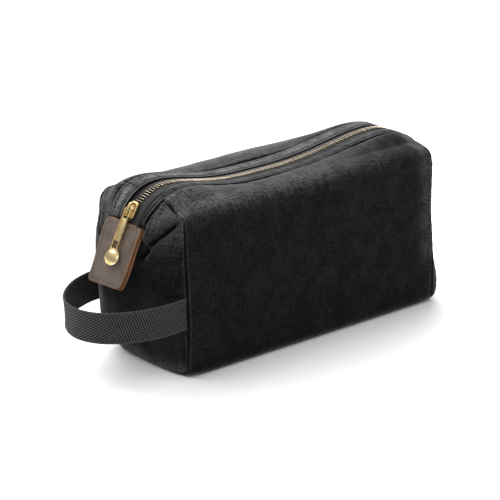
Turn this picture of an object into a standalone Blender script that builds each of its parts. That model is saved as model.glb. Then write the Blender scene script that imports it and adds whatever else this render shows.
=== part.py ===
"""Shaving kit bag: a boxy waxed-canvas bag with a brass zip over its top, a leather tab and a webbing strap.

Frame: the origin is the middle of the base, +X runs along the bag away from the strap, +Y to the back, +Z up.
All sizes are in metres. The zip runs in the XZ plane: over the sagging top and down an arch at each end.
"""

import math

import bmesh
import bpy
from mathutils import Matrix, Vector

# Bag body
HALF_LENGTH = 0.130
HALF_WIDTH = 0.052
WALL_BULGE = 0.0015
EDGE_HEIGHT = 0.1395
EDGE_HEIGHT_AT_ENDS = 0.1345
EDGE_RADIUS = 0.015
EDGE_RADIUS_AT_ENDS = {-1: 0.005, 1: 0.014}
EDGE_BLEND = 0.020
BASE_RADIUS = 0.006
CANVAS = 0.0012
CANVAS_LAYER = (0.0, CANVAS)
LINING_LAYER = (0.0018, 0.0024)
END_LINING_LAYER = (0.0026, 0.0032)
GAP = 0.0003
HINGE_GAP = 0.0013

# Zip path: a sag between a hump near each end, then an arch of ARCH_RADIUS, then a straight run down
HUMPS = {-1: (-0.1095, 0.1450), 1: (0.1040, 0.1460)}
SAG = (-0.015, 0.1352)
SAG_POWER = {-1: 1.6, 1: 1.3}
ARCH_RADIUS = 0.040
ARCH_ANGLE = math.radians(64)
SLIDER_ANGLE = math.radians(52)
TAB_DROP = 0.0048

# Zip cross-section: half widths from the middle, and heights along the path's normal
TEETH_REACH = 0.0030
TEETH_HALF_THICK = 0.0011
TAPE_EDGE = 0.0155
TAPE_HEIGHTS = (-0.0009, -0.0003)
FACING_FOLD = 0.0065
FACING_SEAM = 0.0205
FACING_HEIGHTS = (0.0003, 0.0019)

# Mouth: each half of the top turns up about a straight line on the rounded long edge
MOUTH_HALF = 0.058

# Slider and puller
SLIDER_LENGTH = 0.0135
SLIDER_HALF_WIDTH = 0.0052
PIVOT_HEIGHT = 0.0049
PULLER_TILT = math.radians(11)
PULLER_LENGTH = 0.0402
PULLER_THICK = 0.0014
PULLER_HALF_WIDTH = 0.0030
SPOON_RADIUS = 0.0063

# Leather tab
TAB_WIDTH = 0.034
TAB_LENGTH = 0.047
TAB_CORNER = 0.004
TAB_LAYERS = {"tab_leather_front": (0.0004, 0.0024), "tab_leather_back": (-0.0032, -0.0012)}

# Webbing strap
STRAP_WIDTH = 0.026
STRAP_THICK = 0.0020
STRAP_HEIGHT = 0.055
STRAP_PIVOT_X = -0.131
STRAP_ROOT = 0.022
STRAP_ROUTE = (
    (-0.1334, -0.0510),
    (-0.1560, -0.0515),
    (-0.1800, -0.0440),
    (-0.1975, -0.0275),
    (-0.2035, -0.0050),
    (-0.1960, 0.0190),
    (-0.1760, 0.0385),
    (-0.1540, 0.0485),
    (-0.1334, 0.0510),
)

SIDES = {"front": -1, "back": 1}
COLOURS = {
    "canvas": ((0.016, 0.016, 0.017), 0.85, 0.0),
    "lining": ((0.05, 0.045, 0.04), 0.8, 0.0),
    "webbing": ((0.028, 0.028, 0.029), 0.9, 0.0),
    "zip_tape": ((0.012, 0.012, 0.013), 0.85, 0.0),
    "brass": ((0.62, 0.47, 0.24), 0.3, 1.0),
    "leather": ((0.16, 0.12, 0.10), 0.6, 0.0),
}


def clear_scene():
    for obj in list(bpy.data.objects):
        bpy.data.objects.remove(obj)


def material(name):
    found = bpy.data.materials.get(name)
    if found:
        return found
    colour, roughness, metallic = COLOURS[name]
    made = bpy.data.materials.new(name)
    made.use_nodes = True
    shader = made.node_tree.nodes["Principled BSDF"]
    shader.inputs["Base Color"].default_value = (*colour, 1)
    shader.inputs["Roughness"].default_value = roughness
    shader.inputs["Metallic"].default_value = metallic
    return made


def add_object(name, data, material_name, matrix=None, cutter=False):
    obj = bpy.data.objects.new(name, data)
    data.materials.append(material(material_name))
    group = "cutters" if cutter else "shaving_kit_bag"
    bpy.data.collections[group].objects.link(obj)
    if matrix is not None:
        obj.matrix_world = matrix
    if cutter:
        obj.hide_render = True
        obj.display_type = "WIRE"
    return obj


def smoothstep(low, high, value):
    t = min(1.0, max(0.0, (value - low) / (high - low)))
    return t * t * (3 - 2 * t)


def mix(a, b, t):
    return a + (b - a) * t


def spaced(first, last, count):
    return [mix(first, last, i / (count - 1)) for i in range(count)]


# The zip's path --------------------------------------------------------------------------------


def zip_height(x):
    """Height of the zip's middle between the humps."""
    side = 1 if x > SAG[0] else -1
    share = (x - SAG[0]) / (HUMPS[side][0] - SAG[0])
    wave = (1 - math.cos(math.pi * share ** SAG_POWER[side])) / 2
    return SAG[1] + (HUMPS[side][1] - SAG[1]) * wave


def zip_frame(t):
    """Point and outward normal, as (x, z) pairs, at t: x between the humps, path length beyond them."""
    side = 1 if t > 0 else -1
    hump_x, hump_z = HUMPS[side]
    past = side * (t - hump_x)
    if past <= 0:
        step = min(1e-5, -past)
        slope = (zip_height(t + step) - zip_height(t - step)) / (2 * step) if step else 0.0
        return Vector((t, zip_height(t))), Vector((-slope, 1)).normalized()
    angle = min(past / ARCH_RADIUS, ARCH_ANGLE)
    normal = Vector((side * math.sin(angle), math.cos(angle)))
    down = Vector((side * math.cos(angle), -math.sin(angle)))
    straight = past - ARCH_RADIUS * angle
    centre = Vector((hump_x, hump_z - ARCH_RADIUS))
    return centre + normal * ARCH_RADIUS + down * straight, normal


def arch_t(side, angle):
    return HUMPS[side][0] + side * ARCH_RADIUS * angle


def stations(first, last):
    """Values of t from first to last, close together on the arches."""
    turns = [arch_t(s, ARCH_ANGLE * i / 7) for s in (-1, 1) for i in range(8)]
    tops = [0.0128 * i for i in range(-8, 8)]
    margin = 0.002
    inner = [t for t in turns + tops if first + margin < t < last - margin]
    return [first, *sorted(inner), last]


SLIDER_T = arch_t(-1, SLIDER_ANGLE)
TAB_T = arch_t(-1, ARCH_ANGLE) - TAB_DROP
RIGHT_END_T = arch_t(1, ARCH_ANGLE) + 0.001


def zip_height_at(x):
    """Height of the zip's middle at x, on the top or on an arch."""
    hump_x, hump_z = HUMPS[1 if x > 0 else -1]
    past = abs(x) - abs(hump_x)
    if past <= 0:
        return zip_height(x)
    return hump_z - ARCH_RADIUS + math.sqrt(ARCH_RADIUS**2 - past**2)


# Flat outlines ---------------------------------------------------------------------------------


def outline_object(name, loops, low, high, frame, material_name, cutter=False):
    """A flat outline, with any further loops as holes, filled from low to high along its third axis."""
    curve = bpy.data.curves.new(name, "CURVE")
    curve.dimensions = "2D"
    curve.fill_mode = "BOTH"
    curve.extrude = (high - low) / 2
    for loop in loops:
        spline = curve.splines.new("POLY")
        spline.points.add(len(loop) - 1)
        for point, (x, y) in zip(spline.points, loop):
            point.co = (x, y, 0, 1)
        spline.use_cyclic_u = True
    middle = Matrix.Translation((0, 0, (low + high) / 2))
    return add_object(name, curve, material_name, frame @ middle, cutter)


def as_mesh(obj):
    """The same object with its curve made a mesh whose caps are welded."""
    bpy.context.view_layer.update()
    evaluated = obj.evaluated_get(bpy.context.evaluated_depsgraph_get())
    mesh = bpy.data.meshes.new_from_object(evaluated)
    welded = bmesh.new()
    welded.from_mesh(mesh)
    bmesh.ops.remove_doubles(welded, verts=welded.verts, dist=1e-6)
    welded.to_mesh(mesh)
    welded.free()
    name, matrix, hidden = obj.name, obj.matrix_world.copy(), obj.hide_render
    collection = obj.users_collection[0]
    bpy.data.objects.remove(obj)
    made = bpy.data.objects.new(name, mesh)
    collection.objects.link(made)
    made.matrix_world = matrix
    made.hide_render = hidden
    made.display_type = "WIRE" if hidden else "TEXTURED"
    return made


def boolean(obj, other, operation):
    modifier = obj.modifiers.new(operation.title(), "BOOLEAN")
    modifier.operation = operation
    modifier.object = other


def side_plane():
    """Outline x and y become X and Z, and its third axis -Y, of the world or of a frame it follows."""
    return Matrix.Rotation(math.pi / 2, 4, "X")


def zip_strip(name, side, inner, outer, heights, first, last, material_name):
    """A strip of the zip from t = first to last, between two distances from the middle."""
    frames = [zip_frame(t) for t in stations(first, last)]
    upper = [point + normal * heights[1] for point, normal in frames]
    lower = [point + normal * heights[0] for point, normal in frames]
    low, high = sorted((-side * inner, -side * outer))
    return outline_object(name, [upper + lower[::-1]], low, high, side_plane(), material_name)


def arc(centre, radius, start, end, count):
    return [
        (centre[0] + radius * math.cos(math.radians(a)), centre[1] + radius * math.sin(math.radians(a)))
        for a in spaced(start, end, count)
    ]


def rounded_box(x0, x1, y0, y1, radius, count=4):
    corners = ((x1, y1, 0), (x0, y1, 90), (x0, y0, 180), (x1, y0, 270))
    points = []
    for x, y, start in corners:
        centre = (x - math.copysign(radius, x - (x0 + x1) / 2), y - math.copysign(radius, y - (y0 + y1) / 2))
        points += arc(centre, radius, start, start + 90, count)
    return points


# The bag's shell -------------------------------------------------------------------------------


def half_section(x):
    """Half of the outline across the bag at x, from the zip seam over the long edge to the base's middle.

    The second value is the number of the point that lies on the mouth's turning line.
    """
    end = 1 if x > 0 else -1
    shape = smoothstep(0, EDGE_BLEND, HALF_LENGTH - abs(x))
    radius = mix(EDGE_RADIUS_AT_ENDS[end], EDGE_RADIUS, shape)
    top = mix(EDGE_HEIGHT_AT_ENDS, EDGE_HEIGHT, shape)
    side = HALF_WIDTH
    seam = FACING_SEAM + 2 * GAP
    seam_height = zip_height_at(x) + FACING_HEIGHTS[1]
    inner = [
        (mix(seam, side - radius, s), mix(seam_height, top, smoothstep(0, 1, s))) for s in spaced(0, 1, 5)[:-1]
    ]
    corner = arc((side - radius, top - radius), radius, 90, 0, 5)
    wall_top, wall_base = top - radius, BASE_RADIUS
    wall = [
        (side + WALL_BULGE * math.sin(math.pi * s), mix(wall_top, wall_base, s)) for s in spaced(0, 1, 6)[1:-1]
    ]
    base = arc((side - BASE_RADIUS, BASE_RADIUS), BASE_RADIUS, 0, -90, 4)
    floor = [(mix(side - BASE_RADIUS, 0, s), 0.0) for s in (0.5, 1)]
    return inner + corner + wall + base + floor, len(inner) + 2


def shell(name, rows, layer, material_name, keep=lambda i, j: True):
    """A thin shell under a grid of points: rows of equal length, less the cells that keep refuses.

    The layer gives the depths of its outer and inner faces below the points.
    """
    mesh = bpy.data.meshes.new(name)
    count = len(rows[0])
    points = [p for row in rows for p in row]
    faces = [
        (i * count + j, i * count + j + 1, (i + 1) * count + j + 1, (i + 1) * count + j)
        for i in range(len(rows) - 1)
        for j in range(count - 1)
        if keep(i, j)
    ]
    mesh.from_pydata(points, [], faces)
    tidy = bmesh.new()
    tidy.from_mesh(mesh)
    bmesh.ops.delete(tidy, geom=[v for v in tidy.verts if not v.link_faces], context="VERTS")
    tidy.to_mesh(mesh)
    tidy.free()
    obj = add_object(name, mesh, material_name)
    if layer[0]:
        modifier = obj.modifiers.new("Depth", "DISPLACE")
        modifier.direction = "NORMAL"
        modifier.mid_level = 0
        modifier.strength = -layer[0]
    modifier = obj.modifiers.new("Thickness", "SOLIDIFY")
    modifier.thickness = layer[1] - layer[0]
    modifier.offset = -1
    return obj


def mirror_across(obj):
    """Both halves of a piece that is open at Y = 0, ahead of its thickness."""
    modifier = obj.modifiers.new("Halves", "MIRROR")
    modifier.use_axis = (False, True, False)
    modifier.merge_threshold = 0.0001
    obj.modifiers.move(len(obj.modifiers) - 1, 0)


def body_panel(name, layer, material_name):
    """The canvas that wraps the front, base and back, or its lining, less the two halves of the mouth."""
    middle = [-MOUTH_HALF, -0.029, 0.0, 0.029, MOUTH_HALF]
    ends = [0.082, 0.104, 0.113, 0.121, HALF_LENGTH - layer[0]]
    xs = ends[::-1] + middle[::-1] + [-x for x in ends]
    rows = []
    for x in xs:
        points, hinge = half_section(x)
        rows.append([(x, y, z) for y, z in points])

    def keep(i, j):
        return j >= hinge or abs(xs[i] + xs[i + 1]) / 2 > MOUTH_HALF

    panel = shell(name, rows, layer, material_name, keep)
    mirror_across(panel)
    return panel


def top_panel(name, side, layer, material_name):
    """One half of the top, between the zip seam and the turning line."""
    reach = MOUTH_HALF - GAP
    rows = []
    for x in spaced(-reach, reach, 5):
        points, hinge = half_section(x)
        last, before = Vector(points[hinge]), Vector(points[hinge - 1])
        edge = last + (before - last).normalized() * HINGE_GAP
        points = [*points[:hinge], edge]
        rows.append([(x, side * y, z) for y, z in points])
    if side > 0:
        rows = [row[::-1] for row in rows]
    return shell(name, rows, layer, material_name)


def end_reach(side, z):
    """How far the end panel's middle stands out, from the base up to the zip's arch."""
    hump_x, hump_z = HUMPS[side]
    centre_z = hump_z - ARCH_RADIUS
    join = centre_z + ARCH_RADIUS * math.cos(ARCH_ANGLE)
    if z >= join:
        return abs(hump_x) + math.sqrt(max(0.0, ARCH_RADIUS**2 - (z - centre_z) ** 2)) - GAP
    top = abs(hump_x) + ARCH_RADIUS * math.sin(ARCH_ANGLE) - GAP
    points = ((0.0, 0.1325), (0.022, top - 0.005), (0.050, top - 0.002), (0.118, top - 0.0015), (join, top))
    for (z0, x0), (z1, x1) in zip(points, points[1:]):
        if z <= z1:
            return mix(x0, x1, (z - z0) / (z1 - z0))
    return top


def corner_width(side, z, border):
    """Half the end panel's width at z, inside the rounded corners at its base and top."""
    radius = EDGE_RADIUS_AT_ENDS[side]
    drop = max(0.0, BASE_RADIUS - z)
    rise = min(radius, max(0.0, z - (EDGE_HEIGHT_AT_ENDS - border - radius)))
    cut = BASE_RADIUS - math.sqrt(BASE_RADIUS**2 - drop**2) + radius - math.sqrt(radius**2 - rise**2)
    return HALF_WIDTH - border - cut


def end_panel(name, side, layer, material_name):
    """A puffed end panel with a notch at the top that the zip comes through."""
    seam_y = FACING_SEAM + 0.0012
    seam = seam_y / HALF_WIDTH
    edge = HALF_LENGTH + CANVAS + GAP
    border = 1.2 * layer[0]
    shares = [-1, -0.93, -0.75, -0.54, -seam, 0, seam, 0.54, 0.75, 0.93, 1]
    heights = [0.0, 0.25, 1.0, 0.17, 0.33, 0.5, 0.66, 0.75, 0.79, 0.87, 0.91, 0.95, 0.98, 1.0]
    notch = 8
    strip_top = zip_height_at(side * HALF_LENGTH) + FACING_HEIGHTS[1] - border
    rows = []
    for k, h in enumerate(heights):
        row = []
        for share in shares:
            top = mix(strip_top, EDGE_HEIGHT_AT_ENDS - border, smoothstep(seam, 1, abs(share)))
            z = mix(border, BASE_RADIUS, h) if k < 3 else mix(BASE_RADIUS, top, h)
            past = max(0.0, (abs(share) - seam) / (1 - seam))
            y = min(abs(share), seam) * HALF_WIDTH + past * (corner_width(side, z, border) - seam_y)
            puff = 1 - abs(share) ** 2.6
            reach = edge + max(0.0, end_reach(side, z) - edge) * puff
            if k == len(heights) - 1:
                reach = edge
            row.append((side * reach, math.copysign(y, share), z))
        rows.append(row)
    if side < 0:
        rows = [row[::-1] for row in rows]

    def keep(i, j):
        return i < notch or not 4 <= j <= 5

    return shell(name, rows, layer, material_name, keep)


def seam_binding(name, side):
    """The bound seam allowance inside an end seam, a round tape down the front, along the base and up the back."""
    inside_y, inside_z, bend = HALF_WIDTH - 0.0055, 0.0060, 0.008
    points = [(-inside_y, 0.118)]
    points += arc((-inside_y + bend, inside_z + bend), bend, 180, 270, 5)
    points += arc((inside_y - bend, inside_z + bend), bend, 270, 360, 5)
    points += [(inside_y, 0.118)]
    curve = bpy.data.curves.new(name, "CURVE")
    curve.dimensions = "3D"
    curve.bevel_depth = 0.0015
    curve.bevel_resolution = 1
    curve.use_fill_caps = True
    spline = curve.splines.new("POLY")
    spline.points.add(len(points) - 1)
    for point, (y, z) in zip(spline.points, points):
        point.co = (side * (HALF_LENGTH - 0.0055), y, z, 1)
    return add_object(name, curve, "webbing")


# Zip, slider and puller ------------------------------------------------------------------------


def build_zip():
    """Teeth, tape and folded facing on both sides, each in the moving middle and the two fixed ends."""
    reach = MOUTH_HALF - GAP / 2
    slider_gap = 0.0010
    facing_end = TAB_T + 0.0006
    spans = {
        "_left": {"teeth": (SLIDER_T + slider_gap, -reach - GAP), "tape": (TAB_T + GAP, -reach - GAP),
                  "facing": (facing_end, -reach - GAP)},
        "": {"teeth": (-reach, reach), "tape": (-reach, reach), "facing": (-reach, reach)},
        "_right": {"teeth": (reach + GAP, RIGHT_END_T - 0.006), "tape": (reach + GAP, RIGHT_END_T),
                   "facing": (reach + GAP, RIGHT_END_T)},
    }
    teeth_heights = (-TEETH_HALF_THICK, TEETH_HALF_THICK)
    for side_name, side in SIDES.items():
        for place, span in spans.items():
            zip_strip(f"zip_teeth_{side_name}{place}", side, GAP / 2, TEETH_REACH, teeth_heights,
                      *span["teeth"], "brass")
            zip_strip(f"zip_tape_{side_name}{place}", side, TEETH_REACH + GAP, TAPE_EDGE, TAPE_HEIGHTS,
                      *span["tape"], "zip_tape")
            zip_strip(f"zip_facing_{side_name}{place}", side, FACING_FOLD, FACING_SEAM, FACING_HEIGHTS,
                      *span["facing"], "canvas")
        stop = SLIDER_T - SLIDER_LENGTH / 2 - 0.0005
        zip_strip(f"zip_top_stop_{side_name}", side, 0.0006, TEETH_REACH, teeth_heights, stop - 0.0012, stop, "brass")
    zip_strip("zip_bottom_stop", 1, -0.0028, 0.0028, teeth_heights, RIGHT_END_T - 0.0055, RIGHT_END_T - 0.0025, "brass")


def slider_frame():
    """Slider axes: X along the zip towards the closed teeth, Y the bag's, Z out of the bag."""
    point, normal = zip_frame(SLIDER_T)
    along = Vector((normal[1], 0, -normal[0]))
    out = Vector((normal[0], 0, normal[1]))
    back = out.cross(along)
    turn = Matrix((along, back, out)).transposed().to_4x4()
    return Matrix.Translation((point[0], 0, point[1])) @ turn


def end_view():
    """Outline x and y become the slider's Y and Z, and its third axis the slider's X."""
    return Matrix(((0, 0, 1, 0), (1, 0, 0, 0), (0, 1, 0, 0), (0, 0, 0, 1)))


def build_slider():
    """Upper and lower wings joined by a wedge post, with a bridge on top that holds the puller."""
    frame = slider_frame()
    half, wide = SLIDER_LENGTH / 2, SLIDER_HALF_WIDTH
    roof, ceiling, lip = 0.0026, 0.0016, 0.0005
    under, floor = -0.0030, -0.0020
    upper = [(-wide, lip), (-wide, roof - 0.0006), (-wide + 0.0006, roof), (wide - 0.0006, roof), (wide, roof - 0.0006),
             (wide, lip), (wide - 0.0009, lip), (wide - 0.0009, ceiling), (-wide + 0.0009, ceiling), (-wide + 0.0009, lip)]
    top = as_mesh(outline_object("slider_body", [upper], -half, half, frame @ end_view(), "brass"))
    lower = rounded_box(-half, half, -wide, wide, 0.0025)
    bottom = as_mesh(outline_object("slider_lower_wing", [lower], under, floor, frame, "brass", cutter=True))
    wedge = [(-half + 0.0004, -0.0011), (-half + 0.0004, 0.0011), (-0.0010, 0.0003), (-0.0010, -0.0003)]
    post = as_mesh(outline_object("slider_post", [wedge], floor - 0.0003, ceiling + 0.0003, frame, "brass", cutter=True))
    boolean(top, post, "UNION")
    boolean(top, bottom, "UNION")
    bridge = [(-0.0050, 0.0029), *arc((-0.0020, 0.0041), 0.0030, 160, 100, 4),
              *arc((0.0020, 0.0041), 0.0030, 80, 20, 4), (0.0050, 0.0029), (0.0034, 0.0029),
              (0.0030, 0.0046), (0.0018, 0.0060), (-0.0018, 0.0060), (-0.0030, 0.0046), (-0.0034, 0.0029)]
    outline_object("slider_bridge", [bridge], -0.0012, 0.0012, frame @ side_plane(), "brass")


def build_puller():
    """A long puller: an eye around the bridge, a bar with a slot, and a round end."""
    tilt = Matrix.Rotation(-PULLER_TILT, 4, "Y")
    frame = slider_frame() @ Matrix.Translation((0, 0, PIVOT_HEIGHT)) @ tilt
    half, bar = PULLER_HALF_WIDTH, 0.0007
    neck = 0.0120
    spoon = -PULLER_LENGTH
    meet = math.degrees(math.asin(0.0024 / SPOON_RADIUS))
    outer = [(bar, -half + 0.0008), (bar, half - 0.0008), (bar - 0.0008, half), (-neck, half), (-neck - 0.003, 0.0025)]
    outer += arc((spoon, 0), SPOON_RADIUS, meet, 360 - meet, 17)
    outer += [(-neck - 0.003, -0.0025), (-neck, -half), (bar - 0.0008, -half)]
    eye = rounded_box(-0.0088, -bar, -0.0018, 0.0018, 0.0006, 3)
    slot = rounded_box(-0.0325, -0.0273, -0.0018, 0.0018, 0.0004, 3)
    half_thick = PULLER_THICK / 2
    outline_object("zip_puller", [outer, eye, slot], -half_thick, half_thick, frame, "brass")


def tab_frame():
    """Tab axes: X down the tab, Y across it, Z out of the bag."""
    point, normal = zip_frame(TAB_T)
    down = Vector((-normal[1], 0, normal[0]))
    out = Vector((normal[0], 0, normal[1]))
    turn = Matrix((down, out.cross(down), out)).transposed().to_4x4()
    return Matrix.Translation((point[0], 0, point[1])) @ turn


def build_tab():
    """Two leather layers sewn round the tail of the zip tape."""
    half = TAB_WIDTH / 2
    outline = rounded_box(GAP, TAB_LENGTH, -half, half, TAB_CORNER)
    for name, (low, high) in TAB_LAYERS.items():
        outline_object(name, [outline], low, high, tab_frame(), "leather")
    tail = rounded_box(0.0012, 0.030, -0.0145, 0.0145, 0.001, 2)
    outline_object("zip_tape_tail", [tail], *TAPE_HEIGHTS, tab_frame(), "zip_tape")


# Strap -----------------------------------------------------------------------------------------


def smooth_route(points, steps):
    """A smooth curve through the points, with steps stretches between each two."""
    padded = [points[0], *points, points[-1]]
    made = []
    for a, b, c, d in zip(padded, padded[1:], padded[2:], padded[3:]):
        for k in range(steps):
            t = k / steps
            made.append(
                tuple(
                    0.5 * (2 * q + (r - p) * t + (2 * p - 5 * q + 4 * r - s) * t**2 + (3 * q - p - 3 * r + s) * t**3)
                    for p, q, r, s in zip(a, b, c, d)
                )
            )
    return [*made, points[-1]]


def band(route, thickness):
    """The closed outline of a band of this thickness along a route."""
    sides = ([], [])
    for k, point in enumerate(route):
        before, after = route[max(k - 1, 0)], route[min(k + 1, len(route) - 1)]
        along = (Vector(after) - Vector(before)).normalized()
        across = Vector((-along[1], along[0])) * thickness / 2
        sides[0].append(Vector(point) + across)
        sides[1].append(Vector(point) - across)
    return sides[0] + sides[1][::-1]


def build_strap():
    """The webbing loop, and its two sewn roots, which end in an arc about the line that the loop swings on."""
    low, high = STRAP_HEIGHT - STRAP_WIDTH / 2, STRAP_HEIGHT + STRAP_WIDTH / 2
    outline = band(smooth_route(STRAP_ROUTE, 4), STRAP_THICK)
    pivot = Matrix.Translation((STRAP_PIVOT_X, 0, STRAP_HEIGHT)) @ side_plane()

    def disc(name, radius):
        circle = arc((0, 0), radius, 0, 360, 49)[:-1]
        return as_mesh(outline_object(name, [circle], -0.08, 0.08, pivot, "webbing", cutter=True))

    strap = as_mesh(outline_object("carry_strap", [outline], low, high, Matrix(), "webbing"))
    boolean(strap, disc("strap_root_space", STRAP_ROOT + GAP), "DIFFERENCE")
    root_disc = disc("strap_root_end", STRAP_ROOT)
    for name, side in SIDES.items():
        half = [Vector((p[0], p[1])) for p in smooth_route(STRAP_ROUTE, 4) if p[1] * side > 0 and p[0] > -0.16]
        root = as_mesh(outline_object(f"strap_root_{name}", [band(half, STRAP_THICK)], low, high, Matrix(), "webbing"))
        boolean(root, root_disc, "INTERSECT")


# Moving pieces ---------------------------------------------------------------------------------


def joint_axes():
    """Where each joint's axis passes, the empty that carries it, and what it turns."""
    edge = EDGE_RADIUS * math.sqrt(0.5)
    hinge_y, hinge_z = HALF_WIDTH - EDGE_RADIUS + edge, EDGE_HEIGHT - EDGE_RADIUS + edge
    point, normal = zip_frame(SLIDER_T)
    pivot = point + normal * PIVOT_HEIGHT
    tab_point = zip_frame(TAB_T)[0]
    end = Vector(HUMPS[1])
    chord = end - point
    reach = chord.length / 2 / math.tan(SLIDER_ANGLE / 2)
    centre = (point + end) / 2 + Vector((chord[1], -chord[0])).normalized() * reach
    mouth = ("top_panel_{0}", "lining_top_{0}", "zip_facing_{0}", "zip_tape_{0}", "zip_teeth_{0}")
    return {
        "zip_travel": ((centre[0], 0, centre[1]), None, ("slider_body", "slider_bridge")),
        "puller_flip": ((pivot[0], 0, pivot[1]), "zip_travel", ("zip_puller",)),
        "tab_flex": ((tab_point[0], 0, tab_point[1]), None, (*TAB_LAYERS, "zip_tape_tail")),
        "strap_swing": ((STRAP_PIVOT_X, 0, STRAP_HEIGHT), None, ("carry_strap",)),
        "mouth_front_turn": ((0, -hinge_y, hinge_z), None, [name.format("front") for name in mouth]),
        "mouth_back_turn": ((0, hinge_y, hinge_z), None, [name.format("back") for name in mouth]),
    }


def hang_on_axes():
    """Parents each moving piece to an empty on its joint's axis, leaving it where it is."""
    for name, (place, carrier, pieces) in joint_axes().items():
        empty = bpy.data.objects.new(name, None)
        bpy.data.collections["shaving_kit_bag"].objects.link(empty)
        empty.matrix_world = Matrix.Translation(place)
        bpy.context.view_layer.update()
        if carrier:
            empty.parent = bpy.data.objects[carrier]
            empty.matrix_parent_inverse = bpy.data.objects[carrier].matrix_world.inverted()
        for piece in pieces:
            obj = bpy.data.objects[piece]
            obj.parent = empty
            obj.matrix_parent_inverse = Matrix.Translation(place).inverted()
    bpy.context.view_layer.update()


def main():
    clear_scene()
    for name in ("shaving_kit_bag", "cutters"):
        bpy.context.scene.collection.children.link(bpy.data.collections.new(name))
    body_panel("body_panel", CANVAS_LAYER, "canvas")
    body_panel("lining_body", LINING_LAYER, "lining")
    for name, side in SIDES.items():
        top_panel(f"top_panel_{name}", side, CANVAS_LAYER, "canvas")
        top_panel(f"lining_top_{name}", side, LINING_LAYER, "lining")
    for name, side in (("left", -1), ("right", 1)):
        end_panel(f"end_panel_{name}", side, CANVAS_LAYER, "canvas")
        end_panel(f"lining_end_{name}", side, END_LINING_LAYER, "lining")
        seam_binding(f"seam_binding_{name}", side)
    build_zip()
    build_slider()
    build_puller()
    build_tab()
    build_strap()
    hang_on_axes()


main()
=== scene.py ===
import math

import bmesh
import bpy
import numpy as np
from mathutils import Matrix, Vector, noise


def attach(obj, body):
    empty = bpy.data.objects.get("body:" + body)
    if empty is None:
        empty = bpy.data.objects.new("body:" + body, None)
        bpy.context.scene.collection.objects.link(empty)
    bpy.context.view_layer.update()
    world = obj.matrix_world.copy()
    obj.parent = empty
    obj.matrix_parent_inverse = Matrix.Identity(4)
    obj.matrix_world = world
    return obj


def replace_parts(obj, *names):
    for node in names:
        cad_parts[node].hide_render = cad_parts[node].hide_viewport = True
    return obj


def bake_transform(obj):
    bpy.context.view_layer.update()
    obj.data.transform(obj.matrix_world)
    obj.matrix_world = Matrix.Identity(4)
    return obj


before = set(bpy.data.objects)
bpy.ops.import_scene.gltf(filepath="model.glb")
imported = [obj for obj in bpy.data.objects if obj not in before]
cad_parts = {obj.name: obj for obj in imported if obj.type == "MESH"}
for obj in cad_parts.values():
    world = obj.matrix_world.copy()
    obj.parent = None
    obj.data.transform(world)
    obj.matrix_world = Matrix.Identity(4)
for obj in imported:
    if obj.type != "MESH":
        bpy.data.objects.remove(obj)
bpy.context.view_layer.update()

# The bag's driving sizes, in metres, nearly all of them the CAD's

HALF_LENGTH = 0.13
HALF_WIDTH = 0.052
EDGE_HEIGHT = 0.1395
EDGE_HEIGHT_AT_ENDS = 0.1345
EDGE_RADIUS = 0.015
EDGE_RADIUS_AT_ENDS = {-1: 0.006, 1: 0.014}
BASE_RADIUS = 0.006
HUMPS = {-1: (-0.1095, 0.145), 1: (0.104, 0.146)}
SAG = (-0.015, 0.1352)
SAG_POWER = {-1: 1.6, 1: 1.3}
ARCH_RADIUS = 0.04
ARCH_ANGLE = math.radians(64)
SLIDER_ANGLE = math.radians(52)
FACING_SEAM = 0.0205
FACING_SEAM_AT_TAB = 0.0168
SEAM_LIFT = 0.0006
STRAP_ROUTE = (
    (-0.13, -0.0508), (-0.1334, -0.051), (-0.156, -0.0515), (-0.18, -0.044), (-0.1975, -0.0275),
    (-0.2035, -0.005), (-0.196, 0.019), (-0.176, 0.0385), (-0.154, 0.0485), (-0.1334, 0.051),
    (-0.13, 0.0508),
)
SIDES = {"front": -1, "back": 1}
ENDS = {"left": -1, "right": 1}
BAG_MIDDLE = np.array([0, 0, 0.07])
LINING_DEPTH = 0.0022
EDGE_PUCKER = 0.0085
SEAM_PUCKER = 0.0105


# Curves and grids


def smoothstep(low, high, value):
    t = np.clip((value - low) / (high - low), 0, 1)
    return t * t * (3 - 2 * t)


def mix(a, b, t):
    return a + (b - a) * t


def bell(value, centre, width):
    return np.exp(-(((value - centre) / width) ** 2))


def smooth_interp(value, places, values):
    """Like np.interp, without corners at the given places."""
    places, values = np.array(places, float), np.array(values, float)
    slopes = np.gradient(values, places)
    slopes[[0, -1]] = 0
    k = np.clip(np.searchsorted(places, value, side="right") - 1, 0, len(places) - 2)
    run = places[k + 1] - places[k]
    t = np.clip((value - places[k]) / run, 0, 1)
    start = values[k] * (1 + 2 * t) * (1 - t) ** 2 + slopes[k] * run * t * (1 - t) ** 2
    return start + values[k + 1] * t**2 * (3 - 2 * t) + slopes[k + 1] * run * t**2 * (t - 1)


def smooth_curve(points, steps, closed=False):
    """A smooth curve through the points."""
    points = [np.array(point, float) for point in points]
    around = [points[-1], *points, *points[:2]] if closed else [points[0], *points, points[-1]]
    made = []
    for p, q, r, s in zip(around, around[1:], around[2:], around[3:]):
        for t in np.arange(steps) / steps:
            bend = (2 * p - 5 * q + 4 * r - s) * t**2 + (3 * q - p - 3 * r + s) * t**3
            made.append(0.5 * (2 * q + (r - p) * t + bend))
    return np.array(made if closed else [*made, points[-1]])


def fine_ends(first, last, coarse, fine, reach):
    """Values from first to last, fine apart near both ends and coarse apart beyond reach."""
    values = [first]
    while values[-1] < last - fine / 2:
        near = min(values[-1] - first, last - values[-1])
        step = mix(fine, coarse, min(1.0, near / reach))
        values.append(min(last, values[-1] + step))
    return np.array(values)


def swell(distance, width):
    """A soft swelling beside a seam: nothing at the seam, and most of it at this width from it."""
    return distance / width * np.exp(1 - distance / width)


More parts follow.
